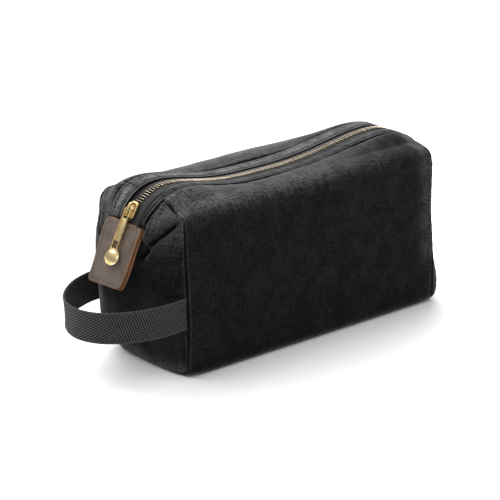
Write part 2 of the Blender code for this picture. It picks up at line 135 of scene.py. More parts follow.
def rough(points, size, seed):
    """Smooth noise, about -1 to 1, with features of this size, at each of an array of points."""
    flat = np.asarray(points, float).reshape(-1, 3) / size
    offset = Vector((seed * 7.3, seed * 3.1, seed * 5.7))
    found = [noise.noise(Vector(p) + offset) for p in flat]
    return np.array(found).reshape(np.asarray(points).shape[:-1]) * 1.6


def outward_normals(points):
    """Unit normals of a grid of points on the bag, pointing out of it."""
    normal = np.cross(np.gradient(points, axis=0), np.gradient(points, axis=1))
    normal = normal / np.maximum(np.linalg.norm(normal, axis=2, keepdims=True), 1e-12)
    return normal if ((points - BAG_MIDDLE) * normal).sum() > 0 else -normal


def linked(name, data):
    """A new object in the scene with this data."""
    obj = bpy.data.objects.new(name, data)
    bpy.context.scene.collection.objects.link(obj)
    return obj


def mesh_object(name, vertices, faces, material, smooth=True):
    mesh = bpy.data.meshes.new(name)
    mesh.from_pydata([tuple(v) for v in vertices], [], faces)
    mesh.materials.append(material)
    if smooth:
        mesh.shade_smooth()
    return linked(name, mesh)


# Stores the point attribute that holds real wear and raw rims together with painted shade (below zero) and
# painted light (on the canvas's top).
def set_wear_and_painted_light(mesh, wear_and_painted_light):
    attribute = mesh.attributes.new("wear_and_painted_light", "FLOAT", "POINT")
    attribute.data.foreach_set("value", np.asarray(wear_and_painted_light, np.float32).ravel())


def grid_object(name, points, uv, material, wear_and_painted_light=None, keep=None, flip=False, closed=False):
    """A smooth mesh on a grid of points, with its UVs in metres and the cloth's wear, painted shade and painted
    light as an attribute.
    """
    rows, columns = points.shape[:2]
    wrap = columns if closed else columns - 1
    faces = []
    for i in range(rows - 1):
        for j in range(wrap):
            if keep is None or keep[i, j]:
                k = (j + 1) % columns
                face = (i * columns + j, i * columns + k, (i + 1) * columns + k, (i + 1) * columns + j)
                faces.append(face[::-1] if flip else face)
    obj = mesh_object(name, points.reshape(-1, 3).tolist(), faces, material)
    index = np.array([loop.vertex_index for loop in obj.data.loops])
    layer = obj.data.uv_layers.new(name="cloth")
    layer.data.foreach_set("uv", uv.reshape(-1, 2)[index].astype(np.float32).ravel())
    if wear_and_painted_light is not None:
        set_wear_and_painted_light(obj.data, wear_and_painted_light)
    data = bmesh.new()
    data.from_mesh(obj.data)
    bmesh.ops.delete(data, geom=[v for v in data.verts if not v.link_faces], context="VERTS")
    data.to_mesh(obj.data)
    data.free()
    return obj


# The zip's path


def zip_height(x):
    side = 1 if x > SAG[0] else -1
    share = (x - SAG[0]) / (HUMPS[side][0] - SAG[0])
    wave = (1 - math.cos(math.pi * share ** SAG_POWER[side])) / 2
    return SAG[1] + (HUMPS[side][1] - SAG[1]) * wave


def zip_frame(t):
    """Point and outward normal, as (x, z) pairs, at t: x between the humps, path length beyond them."""
    side = 1 if t > 0 else -1
    hump_x, hump_z = HUMPS[side]
    past = side * (t - hump_x)
    if past <= 0:
        step = min(1e-4, -past)
        slope = (zip_height(t + step) - zip_height(t - step)) / (2 * step) if step else 0.0
        return Vector((t, zip_height(t))), Vector((-slope, 1)).normalized()
    angle = min(past / ARCH_RADIUS, ARCH_ANGLE)
    normal = Vector((side * math.sin(angle), math.cos(angle)))
    down = Vector((side * math.cos(angle), -math.sin(angle)))
    straight = past - ARCH_RADIUS * angle
    centre = Vector((hump_x, hump_z - ARCH_RADIUS))
    return centre + normal * ARCH_RADIUS + down * straight, normal


def arch_t(side, angle):
    return HUMPS[side][0] + side * ARCH_RADIUS * angle


def strip_height(x):
    """Height at x of the surface that the facings' seams lie on, just above the zip's path."""
    hump_x, hump_z = HUMPS[1 if x > 0 else -1]
    past = abs(x) - abs(hump_x)
    if past <= 0:
        return zip_height(x) + SEAM_LIFT
    return hump_z - ARCH_RADIUS + math.sqrt((ARCH_RADIUS + SEAM_LIFT) ** 2 - past**2)


def strip_reach(side, z):
    """How far out that surface is at height z, on the arch or below it."""
    hump_x, hump_z = HUMPS[side]
    centre_z = hump_z - ARCH_RADIUS
    radius = ARCH_RADIUS + SEAM_LIFT
    join_z = centre_z + radius * math.cos(ARCH_ANGLE)
    if z >= join_z:
        return abs(hump_x) + math.sqrt(max(0.0, radius**2 - (z - centre_z) ** 2))
    return abs(hump_x) + radius * math.sin(ARCH_ANGLE) + (join_z - z) / math.tan(ARCH_ANGLE)


def seam_half(t):
    """Half of the distance between the facings' outer seams at t: they draw in to the tab's corners."""
    under = 0.0032 * float(1 - smoothstep(TAB_T - 0.0075, TAB_T + 0.0005, t))
    return mix(FACING_SEAM_AT_TAB, FACING_SEAM, float(smoothstep(TAB_T - 0.002, TAB_T + 0.026, t))) - under


def end_seam(side, z):
    """The same, at height z on an end panel."""
    if side > 0:
        return FACING_SEAM
    hump_x, hump_z = HUMPS[-1]
    centre_z = hump_z - ARCH_RADIUS
    join_z = centre_z + ARCH_RADIUS * math.cos(ARCH_ANGLE)
    angle = math.acos(min(1.0, (max(z, join_z) - centre_z) / ARCH_RADIUS))
    straight = max(0.0, join_z - z) / math.sin(ARCH_ANGLE)
    return seam_half(hump_x - ARCH_RADIUS * angle - straight)


TAB_T = arch_t(-1, ARCH_ANGLE) - 0.0048
TAB_DIVE = 0.0085
PULLER_ROLL = math.radians(12)
PULLER_DIP = math.radians(-9.8)
PULLER_PIN_HEIGHT = 0.0049
PULLER_HALF = 0.0032
SLIDER_T = arch_t(-1, SLIDER_ANGLE)
RIGHT_END_T = arch_t(1, ARCH_ANGLE) + 0.001


# The camera


def add_camera():
    """Stands where the photograph was taken from."""
    azimuth, elevation, roll = -0.66467, 0.34322, -0.02351
    distance = 1.53733
    target = Vector((-0.16275, -0.17414, 0.14821))
    back = Vector((
        math.sin(azimuth) * math.cos(elevation),
        -math.cos(azimuth) * math.cos(elevation),
        math.sin(elevation),
    ))
    right = (-back).cross(Vector((0, 0, 1))).normalized()
    up = right.cross(-back)
    c, s = math.cos(roll), math.sin(roll)
    right, up = right * c + up * s, up * c - right * s
    camera = linked("camera", bpy.data.cameras.new("camera"))
    camera.data.lens = 156.54672
    camera.data.sensor_width = 36
    camera.data.clip_end = 20
    turn = Matrix((right, up, back)).transposed().to_4x4()
    camera.matrix_world = Matrix.Translation(target + back * distance) @ turn
    bpy.context.scene.camera = camera


# The canvas shell

# Shares of the top's width at which its grid has rows, and the numbers of rows on the long edge, down the
# wall, round the base's edge and to the middle of the base
TOP_STEPS = np.array([0, 0.1, 0.3, 0.6, 1.0, 1.6, 2.4, 3.4, 4.8, 6.6, 8.8, 11.4, 14.0, 16.6, 19.0]) / 19.0
ROW_COUNTS = (14, 44, 6, 9)
HINGE_ROW = len(TOP_STEPS) + ROW_COUNTS[0] // 2 - 1


def half_section(x):
    """Half of the outline across the bag at x, from the zip seam over the long edge to the base's middle."""
    end = 1 if x > 0 else -1
    shape = float(smoothstep(0, 0.02, HALF_LENGTH - abs(x)))
    radius = mix(EDGE_RADIUS_AT_ENDS[end], EDGE_RADIUS, shape)
    top = mix(EDGE_HEIGHT_AT_ENDS, EDGE_HEIGHT, shape)
    seam = strip_height(x)
    start = FACING_SEAM - 0.0001
    d = TOP_STEPS * (HALF_WIDTH - radius - start)
    if seam > top:
        z = seam - (seam - top) * TOP_STEPS**1.7
    else:
        z = top - (top - seam) * (1 - TOP_STEPS) ** 1.15
    z = z + 0.001 * shape * np.sin(math.pi * TOP_STEPS**2)
    z = z - 0.0016 * np.exp(-d / 0.0008) + 0.0007 * swell(d, 0.003)
    around, fall, under, inward = [np.linspace(0, 1, count + 1)[1:] for count in ROW_COUNTS]
    around, under = around * math.pi / 2, under * math.pi / 2
    y = np.concatenate([
        start + d,
        HALF_WIDTH - radius + radius * np.sin(around),
        HALF_WIDTH + 0.0008 * np.sin(math.pi * fall),
        HALF_WIDTH - BASE_RADIUS + BASE_RADIUS * np.cos(under),
        (HALF_WIDTH - BASE_RADIUS) * (1 - inward),
    ])
    z = np.concatenate([
        z,
        top - radius + radius * np.cos(around),
        mix(top - radius, BASE_RADIUS, fall),
        BASE_RADIUS - BASE_RADIUS * np.sin(under),
        0 * inward,
    ])
    return y, z


# How far along the bag its left end is moved, at these places across it
LEFT_END_LEAN = (
    np.array([-52, -36, -16.5, 0, 16.5, 34, 52]) / 1000,
    np.array([0, 2.0, 3.2, 0, -4.6, -8.8, -10.0]) / 1000,
)


def lean(points):
    """The soft bag's own stance: its left end leans back and out, and its right end has a slight waist."""
    x, y, z = points[..., 0], points[..., 1], points[..., 2]
    left = smoothstep(0.088, 0.128, -x)
    shift = smooth_interp(y, *LEFT_END_LEAN)
    corner = smoothstep(0.024, 0.046, y) * smoothstep(0.122, 0.137, z)
    low = smoothstep(0, 0.03, z)
    dx = shift * left * (1 - corner) * low * (1 - 0.3 * smoothstep(0.095, 0.125, z) * (y > 0))
    dz = 0.0022 * np.clip(y / 0.0165, -0.5, 1.2) * left * smoothstep(0.115, 0.138, z) * (1 - corner)
    right = smoothstep(0.06, 0.13, x)
    dx = dx - right * 0.0034 * bell(z, 0.085, 0.035) + right * 0.0054 * bell(z, 0.014, 0.018)
    corner = bell(np.hypot(abs(x) - 0.131, abs(y) - HALF_WIDTH), 0, 0.011) * (1 - smoothstep(0.0, 0.035, z))
    moved = points.copy()
    moved[..., 0] += dx - np.sign(x) * 0.001 * corner
    moved[..., 1] -= np.sign(y) * 0.0008 * corner
    moved[..., 2] += dz + np.where(x < 0, 0.0026, 0.0014) * corner
    return moved


def wrap_grid():
    """The whole wrap of canvas, from the front zip seam down, under and up to the back zip seam."""
    xs = fine_ends(-HALF_LENGTH, HALF_LENGTH, 0.0026, 0.0004, 0.022)
    xs[np.argmin(abs(xs))] = 0.0
    rows = []
    for x in xs:
        y, z = half_section(x)
        front = np.stack([np.full_like(y, x), -y, z], axis=1)
        back = front[::-1][1:] * np.array([1, -1, 1])
        rows.append(np.concatenate([front, back]))
    points = np.array(rows)
    x, y, z = np.moveaxis(points, 2, 0)
    edge = HALF_LENGTH - abs(x)
    push = 0.0004 * swell(edge, 0.0028) - 0.0022 * np.exp(-edge / 0.0006)
    push -= 0.0008 * bell(edge, 0.0021, 0.0006) * (x > 0)
    pucker = np.cos(2 * math.pi * (z + y) / EDGE_PUCKER + 2 * rough(points, 0.03, 4))
    push += 0.00022 * pucker * np.exp(-edge / 0.006)
    seam = abs(abs(y) - FACING_SEAM) + 0.2 * np.maximum(0, 0.125 - z)
    wave = np.cos(2 * math.pi * x / SEAM_PUCKER + 2.5 * rough(points, 0.04, 9))
    push += 0.0002 * wave * np.exp(-seam / 0.006)
    calm = smoothstep(0.0, 0.012, z)
    push += calm * (0.0009 * rough(points, 0.062, 1) + 0.00035 * rough(points, 0.021, 2))
    return xs, lean(points + outward_normals(points) * push[..., None])


# Heights on the end panels and how far out their middles stand there, in mm, and the left one's flank
END_HEIGHTS = {-1: (0, 2, 6, 12, 24, 50, 75, 92, 102, 106.7), 1: (0, 2, 6, 12, 24, 50, 75, 95, 110, 118)}
END_REACH = {
    -1: (131.4, 133.4, 135.6, 137.8, 141.0, 144.6, 146.2, 147.0, 146.0, 144.5),
    1: (131.4, 133.0, 134.6, 136.2, 138.0, 139.4, 139.8, 139.8, 140.0, 140.4),
}
FLANK_REACH = (*END_REACH[-1][:-2], 148.6, 150.2)


def end_profile(side, z, past_tab):
    """How far the end panel's middle stands out at height z, or its flank beside the tab at past_tab 1."""
    arch = strip_reach(side, z)
    heights, middle = np.array(END_HEIGHTS[side]) / 1000, np.array(END_REACH[side]) / 1000
    if side > 0:
        return arch if z > heights[-1] else float(smooth_interp(z, heights, middle))
    flank = np.array(FLANK_REACH) / 1000
    if z <= heights[-1]:
        return float(mix(smooth_interp(z, heights, middle), smooth_interp(z, heights, flank), past_tab))
    dive = TAB_DIVE / math.sin(ARCH_ANGLE) * float(1 - smoothstep(0.118, 0.1225, z))
    return mix(arch - dive, min(arch, flank[-1]), past_tab)


# The folds of each end panel: its start and end as (y, z), and its depth
CREASES = {
    -1: (((-0.048, 0.1305), (-0.015, 0.097), 0.0062), ((0.049, 0.129), (0.024, 0.104), 0.003),
         ((-0.0505, 0.069), (-0.036, 0.067), 0.0011)),
    1: (((-0.044, 0.124), (-0.02, 0.102), 0.0028), ((0.044, 0.124), (0.02, 0.102), 0.0028)),
}


def crease_push(side, y, z):
    """The folds in an end panel: each a valley along a line with a soft ridge on each side of it, and painted
    shade along each valley.
    """
    push, dark = np.zeros_like(y), np.zeros_like(y)
    for (y0, z0), (y1, z1), depth in CREASES[side]:
        run = math.hypot(y1 - y0, z1 - z0)
        along = ((y - y0) * (y1 - y0) + (z - z0) * (z1 - z0)) / run
        across = ((y - y0) * (z1 - z0) - (z - z0) * (y1 - y0)) / run * (1 if y1 > y0 else -1)
        share = along / run
        window = smoothstep(-0.08, 0.25, share) * (1 - smoothstep(0.92, 1.2, share))
        width = 0.44 * depth
        valley = -depth * bell(across, 0, width)
        ridges = 0.42 * bell(across, -2.6 * width, 2.2 * width) + 0.22 * bell(across, 3.2 * width, 3 * width)
        push += window * (valley + depth * ridges)
        # Painted shade along the valley, strongest in the deepest fold.
        dark += window * bell(across, 0, 0.5 * width) * min(1.0, (depth / 0.0062) ** 2)
    return push, dark


# Share of the end panel's height where the zip comes through, and how far the panel's edge lies inside the
# wrap's end and below its outline
END_NOTCH = {-1: 0.765, 1: 0.865}
END_SEAM_INSET = 0.0018
END_RIM_DROP = 0.0008


def end_grid(side):
    """An end panel, with the cells that the zip comes through left out."""
    notch_y = FACING_SEAM - 0.0002
    outer = HALF_WIDTH - END_SEAM_INSET / 2
    flank = fine_ends(notch_y, outer, 0.0009, 0.0004, 0.008)
    middle = np.linspace(-notch_y, notch_y, 23)[1:-1]
    ys = np.concatenate([-flank[::-1], middle, flank])
    vs = fine_ends(0.0, 1.0, 0.008, 0.003, 0.05)
    notch = END_NOTCH[side]
    edge = HALF_LENGTH - END_SEAM_INSET
    corner = EDGE_RADIUS_AT_ENDS[side]
    outline_y, outline_z = half_section(side * HALF_LENGTH)
    seam_top = outline_z[4]
    top = seam_top - END_RIM_DROP
    points = np.zeros((len(vs), len(ys), 3))
    seams = np.zeros((len(vs), 1))
    for i, v in enumerate(vs):
        seams[i] = end_seam(side, v * top)
        seam_y = seams[i, 0] - 0.0002
        for j, y in enumerate(ys):
            past = max(0.0, (abs(y) - notch_y) / (outer - notch_y))
            rim = float(np.interp(mix(notch_y, outer - corner, past), outline_y[2:15], outline_z[2:15]))
            z = v * (rim - END_RIM_DROP if past else top)
            drop = max(0.0, BASE_RADIUS - z)
            rise = min(corner, max(0.0, z - (EDGE_HEIGHT_AT_ENDS - END_RIM_DROP - corner)))
            cut = BASE_RADIUS - math.sqrt(BASE_RADIUS**2 - drop**2) + corner - math.sqrt(corner**2 - rise**2)
            wide = min(abs(y), notch_y) / notch_y * seam_y + past * (outer - cut - seam_y)
            fullness = 3.2 if side > 0 else mix(4.5, 2.0, float(smoothstep(0.085, 0.125, z)))
            puff = 1 - (wide / outer) ** (2.5 if y < 0 else fullness)
            beside = float(smoothstep(0.0176, 0.022, wide))
            reach = edge + max(0.0, end_profile(side, z, beside) - edge) * puff
            points[i, j] = (side * reach, math.copysign(wide, y), z)
    y, z = points[..., 1], points[..., 2]
    border = np.minimum(outer - abs(y), np.minimum(z, 0.12))
    soft = smoothstep(0.001, 0.016, border)
    push, dark = crease_push(side, y, z)
    push = push * smoothstep(0.0, 0.008, border)
    push += soft * (0.0012 * rough(points, 0.05, 3 + side) + 0.0005 * rough(points, 0.019, 6 + side))
    seam = abs(abs(y) - seams) + 0.6 * np.maximum(0, notch * seam_top - z)
    above = smoothstep(notch * seam_top - 0.004, notch * seam_top + 0.01, z)
    push += 0.0009 * above * swell(seam, 0.0025) + 0.0008 * swell(border, 0.0035) * (z > 0.004)
    points = points + outward_normals(points) * push[..., None]
    keep = np.ones((len(vs) - 1, len(ys) - 1), bool)
    inside = abs((ys[1:] + ys[:-1]) / 2) < notch_y
    keep[np.ix_(vs[:-1] >= notch, inside)] = False
    # A pale rubbed rim beside the panel's seam, and painted shade in the seam itself.
    wear_and_painted_light = 0.3 * bell(border, 0.0016, 0.0008) - bell(border, 0, 0.0007)
    # Lighter towards the top, partly wear and partly painted light, and rubbed pale at the bottom.
    wear_and_painted_light += 0.55 * smoothstep(0.095, 0.13, z) + 0.5 * bell(z, 0.004, 0.006)
    # Painted shade: a dark line along the facings' seams where they come down the panel.
    wear_and_painted_light -= 1.6 * above * bell(seam, 0, 0.001)
    # Painted shade in the folds' valleys.
    return lean(points), keep, wear_and_painted_light * (1 - dark) - dark


def cloth_uv(points):
    """Lengths along the grid's rows and columns, so that a weave keeps its size."""
    down = np.linalg.norm(np.diff(points, axis=1), axis=2)
    v = np.concatenate([np.zeros((points.shape[0], 1)), np.cumsum(down, axis=1)], axis=1)
    v = np.broadcast_to(v.mean(axis=0), v.shape)
    return np.stack([points[..., 0], v], axis=2)


def flap(obj):
    """Half of one side of the top, with its transform baked into its mesh."""
    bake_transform(obj)
    return obj


def inner(points):
    """The lining's grid, inside the canvas's."""
    return points - outward_normals(points) * LINING_DEPTH


def wrap_wear_and_painted_light(x, y, z):
    """Where the wrap is rubbed pale along its edges and seams, where painted shade darkens its seams, and where
    painted light brightens its top and the back strip beyond the zip.
    """
    edge = HALF_LENGTH - abs(x)
    seam = abs(abs(y) - FACING_SEAM) + 2 * np.maximum(0, 0.13 - z)
    long_edge = bell(np.degrees(np.arctan2(z - 0.1245, abs(y) - 0.037)), 50, 34)
    right = x > 0
    seam_in = np.where(right, 0.0021, 0.0)
    wear_and_painted_light = 0.3 * bell(edge, 0.002 + 1.3 * seam_in, 0.0008)
    # Painted shade: a dark line in the end seams' groove, set in a little on the right end.
    wear_and_painted_light -= 1.5 * bell(edge, seam_in, np.where(right, 0.0006, 0.0009))
    # Painted highlight: a soft pale band down the right end's wall beside its seam.
    wear_and_painted_light += 0.55 * right * bell(edge, 0.009, 0.0065) * smoothstep(0.02, 0.07, z)
    wear_and_painted_light += 0.7 * right * (1 - smoothstep(0.0007, 0.0015, edge)) + 0.5 * bell(seam, 0.0035, 0.0016)
    # The long edges and the top are lighter, partly rubbed wear and partly painted light for the lit top, most
    # at the left and middle.
    fade = mix(1.0, 0.35, smoothstep(-0.02, 0.11, x) * (y < 0))
    wear_and_painted_light += 0.55 * fade * long_edge * (z > 0.12) + 0.5 * bell(z, 0.0, 0.004)
    wear_and_painted_light += 0.75 * smoothstep(0.13, 0.141, z) * mix(1.15, 0.15, smoothstep(-0.02, 0.12, x))
    # Painted light: the back strip of the top, beyond the zip, made lighter.
    wear_and_painted_light += 1.3 * smoothstep(0.022, 0.04, y) * smoothstep(0.13, 0.136, z)
    # Painted shade: a dark line along the facings' outer seams.
    return wear_and_painted_light - 2.2 * bell(seam, 0, 0.0014)


def build_canvas(canvas, lining):
    xs, points = wrap_grid()
    uv = cloth_uv(points)
    wear_and_painted_light = wrap_wear_and_painted_light(*np.moveaxis(points, 2, 0))
    last = points.shape[1] - 1
    lined = inner(points)
    body = slice(HINGE_ROW, last - HINGE_ROW + 1)
    obj = grid_object("canvas_wrap", points[:, body], uv[:, body], canvas, wear_and_painted_light[:, body], flip=True)
    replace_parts(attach(obj, "bag"), "body_panel")
    obj = grid_object("lining_wrap", lined[:, body], uv[:, body], lining)
    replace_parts(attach(obj, "bag"), "lining_body")
    zero = int(np.argmin(abs(xs)))
    for name, part in (("front", slice(0, HINGE_ROW + 1)), ("back", slice(last - HINGE_ROW, last + 1))):
        for place, half in ENDS.items():
            rows = slice(0, zero + 1) if half < 0 else slice(zero, None)
            obj = grid_object(f"canvas_top_{name}_{place}", points[rows, part], uv[rows, part], canvas,
                              wear_and_painted_light[rows, part], flip=True)
            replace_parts(flap(obj), f"top_panel_{name}")
            obj = grid_object(f"lining_top_{name}_{place}", lined[rows, part], uv[rows, part], lining)
            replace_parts(flap(obj), f"lining_top_{name}")
    for name, side in ENDS.items():
        points, keep, wear_and_painted_light = end_grid(side)
        uv = np.stack([points[..., 1], points[..., 2]], axis=2)
        obj = grid_object(f"canvas_end_{name}", points, uv, canvas, wear_and_painted_light, keep, flip=side > 0)
        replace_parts(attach(obj, "bag"), f"end_panel_{name}")
        obj = grid_object(f"lining_end_{name}_cloth", inner(points), uv, lining, keep=keep, flip=side < 0)
        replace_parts(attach(obj, "bag"), f"lining_end_{name}")


# The zip

# Across the bag and out from the path, at the back's side of the zip
FACING_SECTION = np.array([
    (20.9, -1.0), (21.0, -0.3), (20.9, 0.3), (20.6, 0.9), (20.1, 1.3), (19.2, 1.5), (17.8, 1.6), (15.6, 1.5),
    (13.4, 1.45), (11.2, 1.35), (9.3, 1.2), (8.2, 1.05), (7.7, 0.85), (7.35, 0.6), (7.2, 0.25), (7.3, -0.05),
    (7.7, -0.2), (11.5, -0.25), (15.5, -0.25), (19.5, -0.25),
]) / 1000
STITCH_LINES = (0.0096, 0.0186)
STITCH_PITCH = 0.0031


def facing_y(y, t):
    """Where a point of the facing's section lies across the bag at t."""
    return y + (seam_half(t) - FACING_SEAM) * float(smoothstep(0.009, FACING_SEAM, y))


def aside(t):
    """How far to the front of the bag's middle line the chain lies at t."""
    return -float((0.0018 + 0.0013 * bell(t, -0.085, 0.035)) * (1 - 0.9 * smoothstep(0.02, 0.14, t)))


def zip_point(t, y, lift, dive=False):
    """A point of the zip's strips: t along the path, y across, lift out from it; a dive goes under the tab."""
    point, normal = zip_frame(t)
    if dive:
        lift -= TAB_DIVE * float(1 - smoothstep(0.0002, 0.0058, t - TAB_T))
    return (point[0] + normal[0] * lift, y, point[1] + normal[1] * lift)


def path_frame(t):
    """Axes at t: X along the zip towards the right, Y to the back, Z out of the bag."""
    point, normal = zip_frame(t)
    along = Vector((normal[1], 0, -normal[0]))
    out = Vector((normal[0], 0, normal[1]))
    turn = Matrix((along, out.cross(along), out)).transposed().to_4x4()
    return Matrix.Translation((point[0], 0, point[1])) @ turn


def chain_frame(t):
    """The same, on the line that the chain takes."""
    return Matrix.Translation((0, aside(t), 0)) @ path_frame(t)


def zip_stations(first, last, step):
    """Stations along the path with one exactly at the bag's middle, in a left and a right half."""
    left = np.linspace(first, 0, round(-first / step) + 1)
    right = np.linspace(0, last, round(last / step) + 1)
    return (("left", -1, left), ("right", 1, right))


def tube_faces(base, rings, count):
    """Faces of a tube of rings of points, numbered from base, with both ends capped."""
    faces = []
    for r in range(rings - 1):
        for k in range(count):
            a, b = base + r * count + k, base + r * count + (k + 1) % count
            faces.append((a, b, b + count, a + count))
    last = base + (rings - 1) * count
    return faces + [tuple(range(base, base + count))[::-1], tuple(range(last, last + count))]


def capsules(name, centres, directions, normals, length, radius, material):
    """Short rounded lengths of thread, one mesh, each lying along its direction and a little flattened."""
    rings = [(-0.5, 0.25), (-0.42, 0.75), (-0.22, 1.0), (0.22, 1.0), (0.42, 0.75), (0.5, 0.25)]
    count = 8
    vertices, faces = [], []
    for centre, along, up in zip(centres, directions, normals):
        along = Vector(along).normalized()
        side = along.cross(Vector(up)).normalized()
        out = side.cross(along)
        faces += tube_faces(len(vertices), len(rings), count)
        for place, size in rings:
            for k in range(count):
                a = 2 * math.pi * k / count
                offset = side * math.cos(a) * radius * size + out * math.sin(a) * radius * size * 0.7
                vertices.append(Vector(centre) + along * (place * length) + offset)
    return mesh_object(name, vertices, faces, material)


def strip_uv(stations, count):
    """Cloth coordinates of a strip: along the path, and round its section of so many points."""
    return np.stack(np.broadcast_arrays(stations[:, None], np.arange(count) * 0.0011), axis=2)


def build_facings(canvas, thread):
    for name, side in SIDES.items():
        for place, half, stations in zip_stations(TAB_T - 0.0136, RIGHT_END_T + 0.004, 0.0012):
            points = np.array([
                [zip_point(t, side * facing_y(y, t), z, True) for y, z in FACING_SECTION] for t in stations
            ])
            across = np.broadcast_to(FACING_SECTION[:, 0], points.shape[:2])
            wave = np.cos(2 * math.pi * stations / SEAM_PUCKER)[:, None] + 0.6 * rough(points, 0.012, 5)
            top = FACING_SECTION[:, 1] > 0.0008
            line = sum(bell(across, y, 0.0007) for y in STITCH_LINES)
            push = (0.00018 * wave * bell(across, 0.0144, 0.004) - 0.0003 * line) * top
            normals = np.array([zip_frame(t)[1] for t in stations])
            points[..., 0] += push * normals[:, :1]
            points[..., 2] += push * normals[:, 1:]
            points[..., 1] += side * 0.00025 * rough(points, 0.02, 8)
            uv = strip_uv(stations, len(FACING_SECTION))
            # Rubbed pale along the fold and ridges. The back facing is lighter as painted light, and the stitch
            # lines are darker as painted shade in their grooves.
            wear_and_painted_light = 0.15 + 0.7 * bell(across, 0.0077, 0.0008) + 0.5 * bell(across, 0.014, 0.0018)
            wear_and_painted_light += 0.55 * bell(across, 0.0197, 0.0006) + 0.45 * (side > 0) - 0.5 * line
            # Painted shade on the wall of the outer seam and on the fold's inner wall beside the chain.
            wear_and_painted_light[:, :4] = -1.0
            wear_and_painted_light[:, 13:] = -0.8
            obj = grid_object(f"zip_facing_fold_{name}_{place}", lean(points), uv, canvas, wear_and_painted_light, flip=side < 0)
            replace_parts(flap(obj), f"zip_facing_{name}", f"zip_facing_{name}_{place}")
            centres, directions, outs = [], [], []
            for y in STITCH_LINES:
                for t in np.arange(stations[0] + 0.0016, stations[-1] - 0.001, STITCH_PITCH):
                    across = side * facing_y(y, t)
                    ends = [zip_point(t + ahead, across, 0.0013, True) for ahead in (-0.001, 0.001)]
                    a, b = lean(np.array(ends))
                    centres.append((a + b) / 2)
                    directions.append(b - a)
                    normal = zip_frame(t)[1]
                    outs.append((normal[0], 0, normal[1]))
            obj = capsules(f"topstitch_{name}_{place}", centres, directions, outs, 0.0026, 0.00026, thread)
            flap(obj)


TAPE_SECTION = np.array([
    (0.8, -0.3), (1.2, -0.12), (2.0, -0.14), (3.0, -0.2), (4.2, -0.24), (5.4, -0.24), (6.8, -0.28),
    (8.5, -0.3), (12.0, -0.3), (12.0, -0.9), (6.0, -0.9), (2.0, -0.9), (1.0, -0.85), (0.8, -0.6),
]) / 1000


def build_tapes(tape):
    for name, side in SIDES.items():
        for place, half, stations in zip_stations(TAB_T + 0.0014, RIGHT_END_T + 0.002, 0.0015):
            points = [[zip_point(t, side * y + aside(t), z) for y, z in TAPE_SECTION] for t in stations]
            uv = strip_uv(stations, len(TAPE_SECTION))
            label = f"zip_tape_cloth_{name}_{place}"
            obj = grid_object(label, np.array(points), uv, tape, closed=True, flip=side < 0)
            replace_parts(flap(obj), f"zip_tape_{name}", f"zip_tape_{name}_{place}")


TOOTH = (
    # y from the middle line, half length along the zip, lowest, highest, all in mm
    (3.7, 0.35, -0.9, 0.7), (3.5, 0.48, -1.15, 1.12), (1.7, 0.46, -1.2, 1.22), (0.3, 0.42, -1.1, 1.22),
    (-0.9, 0.46, -0.95, 1.18), (-2.7, 0.44, -0.85, 1.02), (-3.0, 0.33, -0.6, 0.6),
)
TOOTH_RING = (
    # place along the zip from -1 to 1, and depth from 0 at the highest to 1 at the lowest
    (-1, 0.3), (-0.62, 0.06), (0, -0.04), (0.62, 0.06), (1, 0.3), (1, 0.7), (0.6, 1), (-0.6, 1), (-1, 0.7),
)
TOOTH_PITCH = 0.005


def build_teeth(brass):
    """Separate metal teeth clamped on each tape's edge, the two rows set half a pitch apart."""
    for name, side in SIDES.items():
        first = SLIDER_T - 0.004 + (TOOTH_PITCH / 2 if side > 0 else 0)
        for place, half in ENDS.items():
            vertices, faces, wear_and_painted_light = [], [], []
            for t in np.arange(first, RIGHT_END_T - 0.004, TOOTH_PITCH):
                if (t < 0) != (half < 0):
                    continue
                turn = chain_frame(t)
                tooth = tube_faces(len(vertices), len(TOOTH), len(TOOTH_RING))
                faces += tooth if side < 0 else [face[::-1] for face in tooth]
                for y, wide, low, high in TOOTH:
                    for along, depth in TOOTH_RING:
                        vertices.append(turn @ (Vector((along * wide, side * y, mix(high, low, depth))) / 1000))
                        wear_and_painted_light.append(1.0 if depth < 0.2 else 0.0)
            obj = mesh_object(f"zip_teeth_row_{name}_{place}", vertices, faces, brass)
            set_wear_and_painted_light(obj.data, wear_and_painted_light)
            bevel = obj.modifiers.new("edges", "BEVEL")
            bevel.width = 0.0001
            bevel.segments = 1
            bevel.limit_method = "ANGLE"
            apply_modifiers(obj)
            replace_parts(flap(obj), f"zip_teeth_{name}", f"zip_teeth_{name}_{place}")


def evaluated_mesh(obj):
    bpy.context.view_layer.update()
    return bpy.data.meshes.new_from_object(obj.evaluated_get(bpy.context.evaluated_depsgraph_get()))


def apply_modifiers(obj):
    mesh, old = evaluated_mesh(obj), obj.data
    obj.modifiers.clear()
    obj.data = mesh
    bpy.data.meshes.remove(old)


# Hardware, leather and strap

# Outlines in mm: half of the slider's plates, one of the rims between them, half of the puller's shaft, and
# the puller's domed end as radius and height
WING = [(6.7, 3.0), (5.6, 4.1), (1.5, 4.5), (-2.5, 5.1), (-6.0, 5.2), (-6.7, 4.4), (-6.6, 2.0), (-5.4, 0.5)]
RAIL = [(6.4, 2.9), (6.4, 3.9), (5.2, 4.3), (1.5, 4.5), (-2.5, 5.05), (-6.0, 5.1), (-6.0, 4.2), (-2.5, 4.1),
        (1.5, 3.6), (5.0, 3.2)]
SHAFT = [(0.7, 2.4), (-0.1, 1000 * PULLER_HALF), (-33.0, 1000 * PULLER_HALF), (-35.2, 4.4), (-37.8, 6.2)]
DOME = [(0.0, 1.7), (1.1, 1.67), (2.2, 1.57), (3.3, 1.38), (4.4, 1.1), (5.4, 0.76), (6.1, 0.46), (6.6, 0.2),
        (6.85, 0.0), (6.9, -0.2), (6.8, -0.45), (6.4, -0.6), (4.0, -0.6), (0.0, -0.6)]
DOME_STEPS = 48
DOME_CENTRE = -40.2


